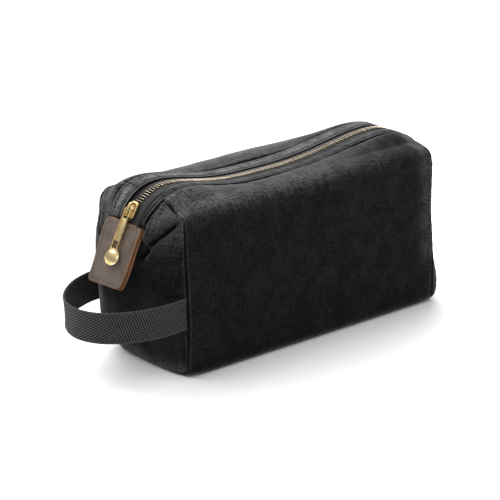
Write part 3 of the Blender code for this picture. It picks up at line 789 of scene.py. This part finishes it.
def arc(centre, radius, start, end, count):
    turns = [math.radians(mix(start, end, k / (count - 1))) for k in range(count)]
    return [(centre[0] + radius * math.cos(a), centre[1] + radius * math.sin(a)) for a in turns]


def rounded(x0, x1, y0, y1, radius, count=5):
    corners = (((x1 - radius, y1 - radius), 0), ((x0 + radius, y1 - radius), 90),
               ((x0 + radius, y0 + radius), 180), ((x1 - radius, y0 + radius), 270))
    return [p for centre, turn in corners for p in arc(centre, radius, turn, turn + 90, count)]


def plate(loops, low, high, turn, bevel):
    """A flat piece with these outlines, holes included, and rounded edges, as a mesh put in its place."""
    curve = bpy.data.curves.new("plate", "CURVE")
    curve.dimensions = "2D"
    curve.fill_mode = "BOTH"
    curve.extrude = (high - low) / 2 - bevel
    curve.bevel_depth = bevel
    curve.bevel_resolution = 2
    curve.offset = -bevel
    for loop in loops:
        spline = curve.splines.new("POLY")
        spline.points.add(len(loop) - 1)
        for point, (x, y) in zip(spline.points, loop):
            point.co = (x, y, 0, 1)
        spline.use_cyclic_u = True
    obj = linked("plate", curve)
    mesh = evaluated_mesh(obj)
    bpy.data.objects.remove(obj)
    bpy.data.curves.remove(curve)
    mesh.transform(turn @ Matrix.Translation((0, 0, (low + high) / 2)))
    return mesh


def joined(name, meshes, material):
    """One object from several meshes, smooth over soft edges."""
    data = bmesh.new()
    for mesh in meshes:
        data.from_mesh(mesh)
        bpy.data.meshes.remove(mesh)
    bmesh.ops.remove_doubles(data, verts=data.verts, dist=1e-6)
    bmesh.ops.recalc_face_normals(data, faces=data.faces)
    for edge in data.edges:
        edge.smooth = edge.calc_face_angle(0) < math.radians(38)
    for face in data.faces:
        face.smooth = True
    mesh = bpy.data.meshes.new(name)
    data.to_mesh(mesh)
    data.free()
    mesh.materials.append(material)
    return linked(name, mesh)


def from_mm(points):
    return [(x / 1000, y / 1000) for x, y in points]


def mirrored(half):
    """A closed outline, from its half on one side of the x axis."""
    return half + [(x, -y) for x, y in half[::-1]]


def build_slider(brass):
    turn = chain_frame(SLIDER_T)
    wing = from_mm(smooth_curve(mirrored(WING), 4, closed=True))
    meshes = [plate([wing], 0.0013, 0.0027, turn, 0.0005), plate([wing], -0.003, -0.0019, turn, 0.0004)]
    for side in (-1, 1):
        rail = from_mm([(x, side * y) for x, y in RAIL])[::side]
        meshes.append(plate([rail], 0.0005, 0.002, turn, 0.0002))
    post = mirrored([(-0.001, 0.0003), (-0.0062, 0.0012)])
    meshes.append(plate([post], -0.0024, 0.002, turn, 0.0001))
    body = joined("slider_casting", meshes, brass)
    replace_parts(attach(body, "slider"), "slider_body")
    outer = [(-0.0056, 0.0024), (-0.0052, 0.0042), *arc((-0.0022, 0.0041), 0.003, 165, 92, 6),
             *arc((0.0022, 0.0041), 0.003, 88, 15, 6), (0.0052, 0.0042), (0.0056, 0.0024)]
    opening = from_mm([(3.6, 2.4), (3.4, 4.2), (2.2, 5.7), (0.8, 6.0)])
    opening += [(-x, z) for x, z in opening[::-1]]
    side_view = turn @ Matrix.Rotation(math.pi / 2, 4, "X")
    loop = joined("slider_bail", [plate([outer + opening], -0.0012, 0.0012, side_view, 0.0003)], brass)
    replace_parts(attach(loop, "slider"), "slider_bridge")


def build_puller(brass):
    """A stamped puller lolling to the front: an eye on the bail, a shaft with a slot, and a domed round end."""
    turn = chain_frame(SLIDER_T) @ Matrix.Translation((0, 0, PULLER_PIN_HEIGHT))
    turn = turn @ Matrix.Rotation(PULLER_DIP, 4, "Y") @ Matrix.Rotation(PULLER_ROLL, 4, "X")
    half = PULLER_HALF
    eye = rounded(-0.0092, -0.0008, -0.0021, 0.0021, 0.0007)[::-1]
    slot = rounded(-0.0335, -0.0273, -0.0024, 0.0024, 0.0003, 3)[::-1]
    meshes = [plate([from_mm(mirrored(SHAFT)), eye, slot], -0.0009, 0.0007, turn, 0.0003)]
    for side in (-1, 1):
        low, high = sorted((side * (half - 0.0008), side * half))
        meshes.append(plate([rounded(-0.0343, -0.001, low, high, 0.0003, 3)], 0.0002, 0.0018, turn, 0.0002))
    data = bmesh.new()
    previous = None
    for radius, height in DOME:
        ring = []
        for k in range(DOME_STEPS if radius else 1):
            a = 2 * math.pi * k / DOME_STEPS
            at = Vector((radius * math.cos(a) + DOME_CENTRE, radius * math.sin(a), height)) / 1000
            ring.append(data.verts.new(turn @ at))
        if previous:
            for k in range(DOME_STEPS):
                corners = [(previous, k), (previous, k + 1), (ring, k + 1), (ring, k)]
                data.faces.new(dict.fromkeys(row[place % len(row)] for row, place in corners))
        previous = ring
    mesh = bpy.data.meshes.new("dome")
    data.to_mesh(mesh)
    data.free()
    obj = joined("puller_stamping", [*meshes, mesh], brass)
    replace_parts(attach(obj, "puller"), "zip_puller")


TAB_LENGTH = 0.047
TAB_HALF = 0.017
TAB_TAIL_HALF = 0.014
TAB_STITCH_PITCH = 0.003
LEATHER_STEPS = 41


def tab_point(turn, s, y, z):
    """A point of the leather tab, which is bent a little and twisted so that its back edge stands out."""
    roll = mix(math.radians(17), math.radians(9), s / TAB_LENGTH)
    y = y - 0.0016 * smoothstep(-TAB_HALF, TAB_HALF, -y)
    z = z + 0.0008 + 0.0007 * math.sin(2 * math.pi * s / TAB_LENGTH) * float(smoothstep(0, 0.01, s))
    lift = 0.003 * (1 - float(smoothstep(0.0, TAB_LENGTH, s)))
    grow = s * 0.048 - 0.0008 * s / TAB_LENGTH * y / TAB_HALF
    c, w = math.cos(roll), math.sin(roll)
    return turn @ Vector((s - lift + grow, y * c + z * w, z * c - y * w))


def leather_layer(name, turn, low, high, leather):
    """One layer of the tab: a slab with round corners, softened rims, and rims marked for their raw colour."""
    length, half, corner = TAB_LENGTH, TAB_HALF, 0.0042
    rim = [(0.0, 0.0), (0.00006, 0.45), (0.0002, 0.8), (0.0004, 1.0)]
    starts = [0.0003 + d for d, k in rim]
    middle = list(np.linspace(0.0012, length - 0.0009, 72))
    stations = starts + middle + [length - d for d, k in rim[::-1]]
    thick = [k for d, k in rim] + [1.0] * len(middle) + [k for d, k in rim[::-1]]
    even = np.linspace(-1, 1, LEATHER_STEPS)
    spread = np.sin(even * math.pi / 2) * 0.35 + even * 0.65
    level = [1.0] * LEATHER_STEPS + [0.85, 0.5, 0.15] + [0.0] * LEATHER_STEPS + [0.15, 0.5, 0.85]
    points, uv, wear_and_painted_light = [], [], []
    for s, full in zip(stations, thick):
        past = max(0.0, 0.0003 + corner - s, s - (length - corner))
        wide = half - corner + math.sqrt(max(0.0, corner**2 - past**2))
        across = [*(spread * (wide - 0.0003)), wide - 0.0001, wide, wide - 0.0001]
        across += [-y for y in across]
        row, urow, wrow = [], [], []
        for y, k in zip(across, level):
            row.append(tab_point(turn, s, y, mix((low + high) / 2, mix(low, high, k), full)))
            urow.append((s, y))
            edge = min(half - abs(y), s, length - s)
            wrow.append(1.0 if full < 0.9 or 0.1 < k < 0.9 else 0.45 * math.exp(-edge / 0.0009))
        points.append(row)
        uv.append(urow)
        wear_and_painted_light.append(wrow)
    return grid_object(name, np.array(points), np.array(uv), leather, np.array(wear_and_painted_light), closed=True)


def build_tab(leather, back_leather, tape, thread):
    turn = path_frame(TAB_T) @ Matrix.Rotation(math.pi, 4, "Z")
    layer = leather_layer("tab_front_leather", turn, 0.0004, 0.0024, leather)
    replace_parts(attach(layer, "tab"), "tab_leather_front")
    layer = leather_layer("tab_back_leather", turn, -0.0032, -0.0012, back_leather)
    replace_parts(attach(layer, "tab"), "tab_leather_back")
    outline = rounded(0.0033, TAB_LENGTH - 0.003, -TAB_TAIL_HALF, TAB_TAIL_HALF, 0.0022, 6)
    outline.append(outline[0])
    lengths = [0.0]
    for a, b in zip(outline, outline[1:]):
        lengths.append(lengths[-1] + math.dist(a, b))
    count = round(lengths[-1] / TAB_STITCH_PITCH)
    places = (np.arange(count) + 0.5) * lengths[-1] / count
    ends = [[np.interp(at, lengths, line) for line in zip(*outline)] for at in (places, places + 0.0005)]
    outs = [turn.to_3x3() @ Vector((0, 0, 1))] * count
    for label, level in (("front", 0.0024), ("back", -0.0032)):
        centres, ahead = [[tab_point(turn, x, y, level) for x, y in zip(*end)] for end in ends]
        directions = [b - a for a, b in zip(centres, ahead)]
        obj = capsules(f"tab_stitches_{label}", centres, directions, outs, 0.0024, 0.00032, thread)
        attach(obj, "tab")
    rows = np.linspace(0.001, 0.03, 16)
    across = np.linspace(-TAB_TAIL_HALF, TAB_TAIL_HALF, 15)
    across = [*across, *across[::-1]]
    level = [-0.0003] * 15 + [-0.0009] * 15
    points = np.array([[tab_point(turn, s, y, z) for y, z in zip(across, level)] for s in rows])
    uv = np.stack(np.broadcast_arrays(rows[:, None], np.array(across)), axis=2)
    obj = grid_object("zip_tape_tail_cloth", points, uv, tape, closed=True)
    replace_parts(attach(obj, "tab"), "zip_tape_tail")


STRAP_HEIGHT = 0.055
STRAP_HALF_WIDTH = 0.013
STRAP_HALF_THICK = 0.00095


def build_strap(webbing):
    route = smooth_curve(STRAP_ROUTE, 12)
    along = np.gradient(route, axis=0)
    along /= np.linalg.norm(along, axis=1, keepdims=True)
    out = np.stack([along[:, 1], -along[:, 0]], axis=1)
    run = np.concatenate([[0], np.cumsum(np.linalg.norm(np.diff(route, axis=0), axis=1))])
    w, h = STRAP_HALF_WIDTH, STRAP_HALF_THICK
    face = np.linspace(-1, 1, 25)
    section = [(f * (w - h), h) for f in face] + [(w - h * 0.3, h * 0.7), (w, 0), (w - h * 0.3, -h * 0.7)]
    section += [(-up, -side) for up, side in section]
    points = np.zeros((len(route), len(section), 3))
    uv = np.zeros((len(route), len(section), 2))
    uv[..., 0] = run[:, None]
    far = smoothstep(0.136, 0.2, -route[:, 0])
    sway = far * (0.0005 * np.sin(run / 0.021) - 0.0006)
    for j, (up, side) in enumerate(section):
        cup = 0.0006 * (1 - (up / w) ** 2)
        points[:, j, :2] = route + out * (side + cup)
        points[:, j, 0] -= 0.025 * far * up
        points[:, j, 2] = STRAP_HEIGHT + up + sway
        uv[:, j, 1] = up + (0 if side > 0 else 0.05)
    # Rubbed pale along both edges, and painted shade on the face inside the loop.
    wear_and_painted_light = [bell(abs(up), w, 0.0012) - (0.6 if side > 0.9 * h else 0.0) for up, side in section]
    wear_and_painted_light = np.broadcast_to(np.array(wear_and_painted_light), points.shape[:2])
    obj = grid_object("strap_webbing", points, uv, webbing, wear_and_painted_light, closed=True)
    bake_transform(obj)
    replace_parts(obj, "carry_strap", "strap_root_front", "strap_root_back")


# Materials


class Nodes:
    """A node material under construction. Sockets given as inputs are linked, and other values are set."""

    def __init__(self, name, **constants):
        self.material = bpy.data.materials.new(name)
        self.material.use_nodes = True
        self.tree = self.material.node_tree
        self.shader = self.tree.nodes["Principled BSDF"]
        for key, value in constants.items():
            self.shader.inputs[key.replace("_", " ")].default_value = value

    def fill(self, socket, value):
        if isinstance(value, bpy.types.NodeSocket):
            self.tree.links.new(value, socket)
        else:
            socket.default_value = value

    def add(self, kind, inputs=None, output=0, **settings):
        node = self.tree.nodes.new(kind)
        for key, value in settings.items():
            setattr(node, key, value)
        for key, value in (inputs or {}).items():
            self.fill(node.inputs[key], value)
        return node.outputs[output]

    def math(self, operation, a, b=0.0):
        return self.add("ShaderNodeMath", {0: a, 1: b}, operation=operation)

    def plus(self, a, b):
        return self.math("ADD", a, b)

    def times(self, a, b):
        return self.math("MULTIPLY", a, b)

    def sine(self, a):
        return self.math("SINE", a)

    def cloth(self, factor, factor_v=None):
        """The cloth's own coordinates, in metres, times these factors."""
        scale = (factor, factor if factor_v is None else factor_v, 1)
        uv = self.add("ShaderNodeUVMap", uv_map="cloth")
        return self.add("ShaderNodeMapping", {"Vector": uv, "Scale": scale})

    def cloth_axes(self, factor):
        """The two cloth coordinates apart, in metres, times this factor."""
        vector = self.cloth(factor)
        return [self.add("ShaderNodeSeparateXYZ", {0: vector}, output=axis) for axis in (0, 1)]

    def noise(self, vector, detail, roughness=0.5, distortion=0.0):
        values = {"Vector": vector, "Scale": 1.0, "Detail": detail, "Roughness": roughness}
        return self.add("ShaderNodeTexNoise", {**values, "Distortion": distortion})

    def grain(self, u, v, *settings):
        """Noise in the cloth's plane, with features of this length and width in metres."""
        return self.noise(self.cloth(1 / u, 1 / v), *settings)

    def cloud(self, sizes, *settings):
        """Noise in space, with features of these sizes in metres along the three axes."""
        scale = tuple(1 / size for size in sizes)
        place = self.add("ShaderNodeTexCoord", output=3)
        return self.noise(self.add("ShaderNodeMapping", {"Vector": place, "Scale": scale}), *settings)

    def ramp(self, value, low, high, bottom=0.0, top=1.0):
        keys = {"Value": value, "From Min": low, "From Max": high, "To Min": bottom, "To Max": top}
        return self.add("ShaderNodeMapRange", keys, interpolation_type="SMOOTHSTEP")

    def blend(self, share, a, b):
        node = self.tree.nodes.new("ShaderNodeMix")
        node.data_type = "RGBA"
        self.fill(node.inputs[0], share)
        for key, color in ((6, a), (7, b)):
            self.fill(node.inputs[key], (*color, 1) if isinstance(color, tuple) else color)
        return node.outputs[2]

    # Reads that attribute: wear together with painted shade and painted light.
    def wear_and_painted_light(self):
        return self.add("ShaderNodeAttribute", output=2, attribute_name="wear_and_painted_light")

    def finish(self, color, height=None, distance=0.0002, strength=1.0, roughness=None):
        self.fill(self.shader.inputs["Base Color"], color)
        if roughness is not None:
            self.fill(self.shader.inputs["Roughness"], roughness)
        if height is not None:
            values = {"Height": height, "Distance": distance, "Strength": strength}
            self.fill(self.shader.inputs["Normal"], self.add("ShaderNodeBump", values))
        return self.material


def weave(n, pitch, slub):
    """Height of a plain weave with uneven threads."""
    u, v = n.cloth_axes(math.pi / pitch)
    checker = n.times(n.sine(u), n.sine(v))
    uneven = n.plus(n.grain(0.0007, 0.012, 2.0), n.grain(0.012, 0.0007, 2.0))
    return n.plus(n.times(checker, 0.5), n.times(uneven, slub))


# The canvas's darkest tone, and also the colour its painted shade goes to.
CANVAS_DARK = (0.0012, 0.0012, 0.0014)
RAW_LEATHER = (0.2, 0.075, 0.024)


def canvas_material(name, dark, light, worn_and_lit):
    n = Nodes(name, Roughness=0.88, Sheen_Roughness=0.2, Specular_IOR_Level=0.1)
    height = weave(n, 0.00062, 0.9)
    mottle = n.cloud((0.016, 0.016, 0.016), 6.0, 0.62, 0.4)
    warp = n.grain(0.0012, 0.014, 2.0, 0.6)
    weft = n.grain(0.01, 0.0012, 2.0, 0.6)
    speckle = n.grain(0.0013, 0.0013, 3.0, 0.75)
    grain = n.plus(n.times(n.plus(warp, weft), 0.5), speckle)
    thread = n.ramp(grain, 0.82, 1.16)
    patch = n.ramp(mottle, 0.36, 0.66)
    base = n.blend(n.times(thread, n.plus(n.times(patch, 0.35), 0.65)), dark, light)
    # Positive values blend towards the worn colour: rubbed wear and painted light.
    rub_and_light = n.times(n.wear_and_painted_light(), n.ramp(mottle, 0.3, 0.7, 0.6, 1.0))
    tip = n.times(rub_and_light, n.plus(n.times(thread, 0.85), 0.12))
    color = n.blend(n.math("MAXIMUM", n.math("MINIMUM", tip, 1.0), 0.0), base, worn_and_lit)
    # Negative values are painted shade: the colour goes to near black and the sheen is turned down with it.
    color = n.blend(n.ramp(n.wear_and_painted_light(), -0.9, 0.0), CANVAS_DARK, color)
    n.tree.links.new(n.ramp(n.wear_and_painted_light(), -0.9, 0.0, 0.0, 0.34), n.shader.inputs["Sheen Weight"])
    height = n.plus(height, n.times(speckle, 0.8))
    return n.finish(color, height, 0.00025, 0.9, n.ramp(patch, 0, 1, 0.92, 0.8))


def lining_material():
    n = Nodes("lining_twill", Roughness=0.7, Sheen_Weight=0.15)
    stripe = n.sine(n.cloth_axes(9000)[0])
    diagonal = n.grain(0.0005, 0.004, 2.0)
    mottle = n.cloud((0.03, 0.03, 0.03), 3.0)
    color = n.blend(n.ramp(mottle, 0.3, 0.7), (0.03, 0.031, 0.033), (0.046, 0.047, 0.05))
    return n.finish(color, n.plus(n.times(stripe, 0.4), diagonal), 0.00012, 0.6)


def tape_material(name, color_a, color_b):
    n = Nodes(name, Roughness=0.8, Sheen_Weight=0.06)
    u, v = n.cloth_axes(2 * math.pi / 0.0009)
    rib = n.sine(n.plus(n.sine(n.times(v, 0.5)), u))
    grain = n.grain(0.0005, 0.0005, 3.0)
    height = n.plus(rib, grain)
    return n.finish(n.blend(n.ramp(height, -0.6, 1.6), color_a, color_b), height, 0.0001, 0.8)


def webbing_material():
    """Heavy ribbed webbing: slanting ribs crossed by the weft, so each rib is a row of small bumps."""
    n = Nodes("webbing_ribbed", Roughness=0.8, Sheen_Weight=0.06, Sheen_Roughness=0.4, Specular_IOR_Level=0.25)
    u, v = n.cloth_axes(630)
    wobble = n.times(n.grain(0.004, 0.004, 2.0), 0.5)
    slant = n.plus(n.times(u, 0.62), n.times(v, 1.05))
    rib = n.math("ABSOLUTE", n.sine(n.plus(n.times(slant, 2.15), wobble)))
    cross = n.math("SUBTRACT", n.times(u, 0.95), n.times(v, 0.3))
    bead = n.math("ABSOLUTE", n.sine(n.plus(n.times(cross, 2.6), wobble)))
    height = n.times(n.math("POWER", rib, 0.7), n.plus(n.times(bead, 0.55), 0.45))
    fuzz = n.grain(0.0004, 0.0004, 2.0)
    height = n.plus(height, n.times(fuzz, 0.25))
    color = n.blend(n.ramp(height, 0.78, 1.06), (0.0004, 0.0004, 0.0006), (0.108, 0.109, 0.113))
    color = n.blend(n.times(n.wear_and_painted_light(), 0.4), color, (0.07, 0.072, 0.075))
    # Painted shade: the loop's inner face darkened towards near black.
    color = n.blend(n.ramp(n.wear_and_painted_light(), -0.9, 0.0), (0.0015, 0.0015, 0.0017), color)
    return n.finish(color, height, 0.0009, 1.0)


def leather_material(name, face_a, face_b, rim_b):
    n = Nodes(name, Roughness=0.6, Specular_IOR_Level=0.35)
    cloud = n.grain(0.012, 0.012, 5.0, 0.6, 0.6)
    streak = n.grain(0.02, 0.0016, 4.0, 0.65, 0.3)
    grain = n.add("ShaderNodeTexVoronoi", {"Vector": n.cloth(1 / 0.0007), "Scale": 1.0})
    fine = n.grain(0.00025, 0.00025, 2.0)
    face = n.blend(n.ramp(n.plus(cloud, n.times(streak, 0.6)), 0.55, 1.05), face_a, face_b)
    face = n.blend(n.times(n.ramp(streak, 0.6, 0.72), 0.25), face, rim_b)
    rim = n.blend(n.ramp(fine, 0.35, 0.65), RAW_LEATHER, rim_b)
    color = n.blend(n.ramp(n.wear_and_painted_light(), 0.12, 0.75), face, rim)
    height = n.plus(n.times(grain, 0.6), n.times(fine, 0.5))
    return n.finish(color, height, 0.00014, 0.55, n.ramp(cloud, 0.3, 0.7, 0.5, 0.68))


def brass_material(name, bright, dull, roughness, grime=None):
    """Brass, with grime wherever the piece's wear is low if a colour for it is given."""
    n = Nodes(name, Metallic=1.0, Roughness=roughness)
    cloud = n.cloud((0.004, 0.004, 0.004), 4.0, 0.6)
    scratch = n.cloud((0.006, 0.0004, 0.0012), 3.0, 0.7)
    color = n.blend(n.ramp(n.plus(cloud, n.times(scratch, 0.4)), 0.5, 0.95), dull, bright)
    if grime:
        color = n.blend(n.ramp(n.wear_and_painted_light(), 0.35, 0.95), grime, color)
    rough_value = n.ramp(n.plus(cloud, scratch), 0.7, 1.4, roughness + 0.14, roughness - 0.05)
    return n.finish(color, n.plus(scratch, cloud), 0.00005, 0.25, rough_value)


def thread_material(name, color_a, color_b):
    n = Nodes(name, Roughness=0.65, Sheen_Weight=0.2)
    twist = n.cloud((0.0004, 0.0012, 0.0004), 2.0)
    return n.finish(n.blend(n.ramp(twist, 0.3, 0.7), color_a, color_b), twist, 0.0001, 0.6)


def floor_material():
    n = Nodes("studio_floor", Roughness=0.9, Specular_IOR_Level=0.05)
    cloud = n.cloud((1 / 3, 1 / 3, 1 / 3), 2.0)
    return n.finish(n.blend(n.ramp(cloud, 0.2, 0.8), (0.91, 0.91, 0.91), (0.92, 0.92, 0.92)))


# Floor, light and camera


def build_studio():
    size = 14.0
    corners = [(-size, -size, 0), (size, -size, 0), (size, size, 0), (-size, size, 0)]
    floor = mesh_object("floor", corners, [(0, 1, 2, 3)], floor_material(), smooth=False)
    floor.location.z = -0.0002
    for name, energy, angle, turn in (
        ("key_sun", 2.7, 62, (-26, -8, 0)),
        ("rim_sun", 1.6, 45, (-58, 0, -38)),
        ("side_sun", 0.3, 50, (52, -12, -35)),
    ):
        light = bpy.data.lights.new(name, "SUN")
        light.energy = energy
        light.angle = math.radians(angle)
        linked(name, light).rotation_euler = [math.radians(a) for a in turn]
    world = bpy.data.worlds.new("studio")
    world.use_nodes = True
    tree = world.node_tree
    background = tree.nodes["Background"]
    direction = tree.nodes.new("ShaderNodeTexCoord")
    split = tree.nodes.new("ShaderNodeSeparateXYZ")
    tree.links.new(direction.outputs["Generated"], split.inputs[0])
    sky = tree.nodes.new("ShaderNodeValToRGB")
    sky.color_ramp.elements[0].position = 0.0
    sky.color_ramp.elements[0].color = (0.16, 0.16, 0.17, 1)
    sky.color_ramp.elements[1].position = 0.85
    sky.color_ramp.elements[1].color = (1.0, 1.0, 1.0, 1)
    tree.links.new(split.outputs["Z"], sky.inputs[0])
    tree.links.new(sky.outputs[0], background.inputs[0])
    background.inputs[1].default_value = 0.9
    bpy.context.scene.world = world
    bpy.context.scene.view_settings.view_transform = "Standard"


canvas = canvas_material("canvas_black", CANVAS_DARK, (0.013, 0.0132, 0.0137), (0.12, 0.121, 0.124))
trim = canvas_material("canvas_trim_black", (0.0035, 0.0035, 0.004), (0.02, 0.0205, 0.0215),
                       (0.22, 0.221, 0.224))
tape = tape_material("zip_tape_black", (0.002, 0.002, 0.002), (0.007, 0.007, 0.008))
binding = tape_material("binding_black", (0.012, 0.012, 0.013), (0.03, 0.03, 0.032))
thread = thread_material("thread_black", (0.01, 0.01, 0.011), (0.03, 0.03, 0.032))
brown_thread = thread_material("thread_brown", (0.018, 0.01, 0.007), (0.045, 0.027, 0.018))
leather = leather_material("leather_taupe", (0.085, 0.064, 0.05), (0.145, 0.112, 0.088), (0.27, 0.115, 0.042))
under_leather = leather_material("leather_tan", (0.15, 0.08, 0.042), (0.2, 0.11, 0.062), (0.26, 0.11, 0.04))
zip_brass = brass_material("brass_aged", (0.62, 0.54, 0.4), (0.3, 0.25, 0.17), 0.34)
teeth_brass = brass_material("brass_teeth", (0.64, 0.55, 0.43), (0.38, 0.32, 0.24), 0.38, (0.006, 0.005, 0.004))
slider_brass = brass_material("brass_slider", (0.76, 0.6, 0.3), (0.36, 0.26, 0.11), 0.24)
gold = brass_material("brass_gold", (0.96, 0.8, 0.48), (0.66, 0.49, 0.22), 0.22)

add_camera()
build_canvas(canvas, lining_material())
build_facings(trim, thread)
build_tapes(tape)
build_teeth(teeth_brass)
build_slider(slider_brass)
build_puller(gold)
build_tab(leather, under_leather, tape, brown_thread)
build_strap(webbing_material())
for node, material in (
    ("zip_top_stop_front", zip_brass), ("zip_top_stop_back", zip_brass), ("zip_bottom_stop", zip_brass),
    ("seam_binding_left", binding), ("seam_binding_right", binding),
):
    for spot in bpy.data.objects[node].material_slots:
        spot.link = "OBJECT"
        spot.material = material
build_studio()
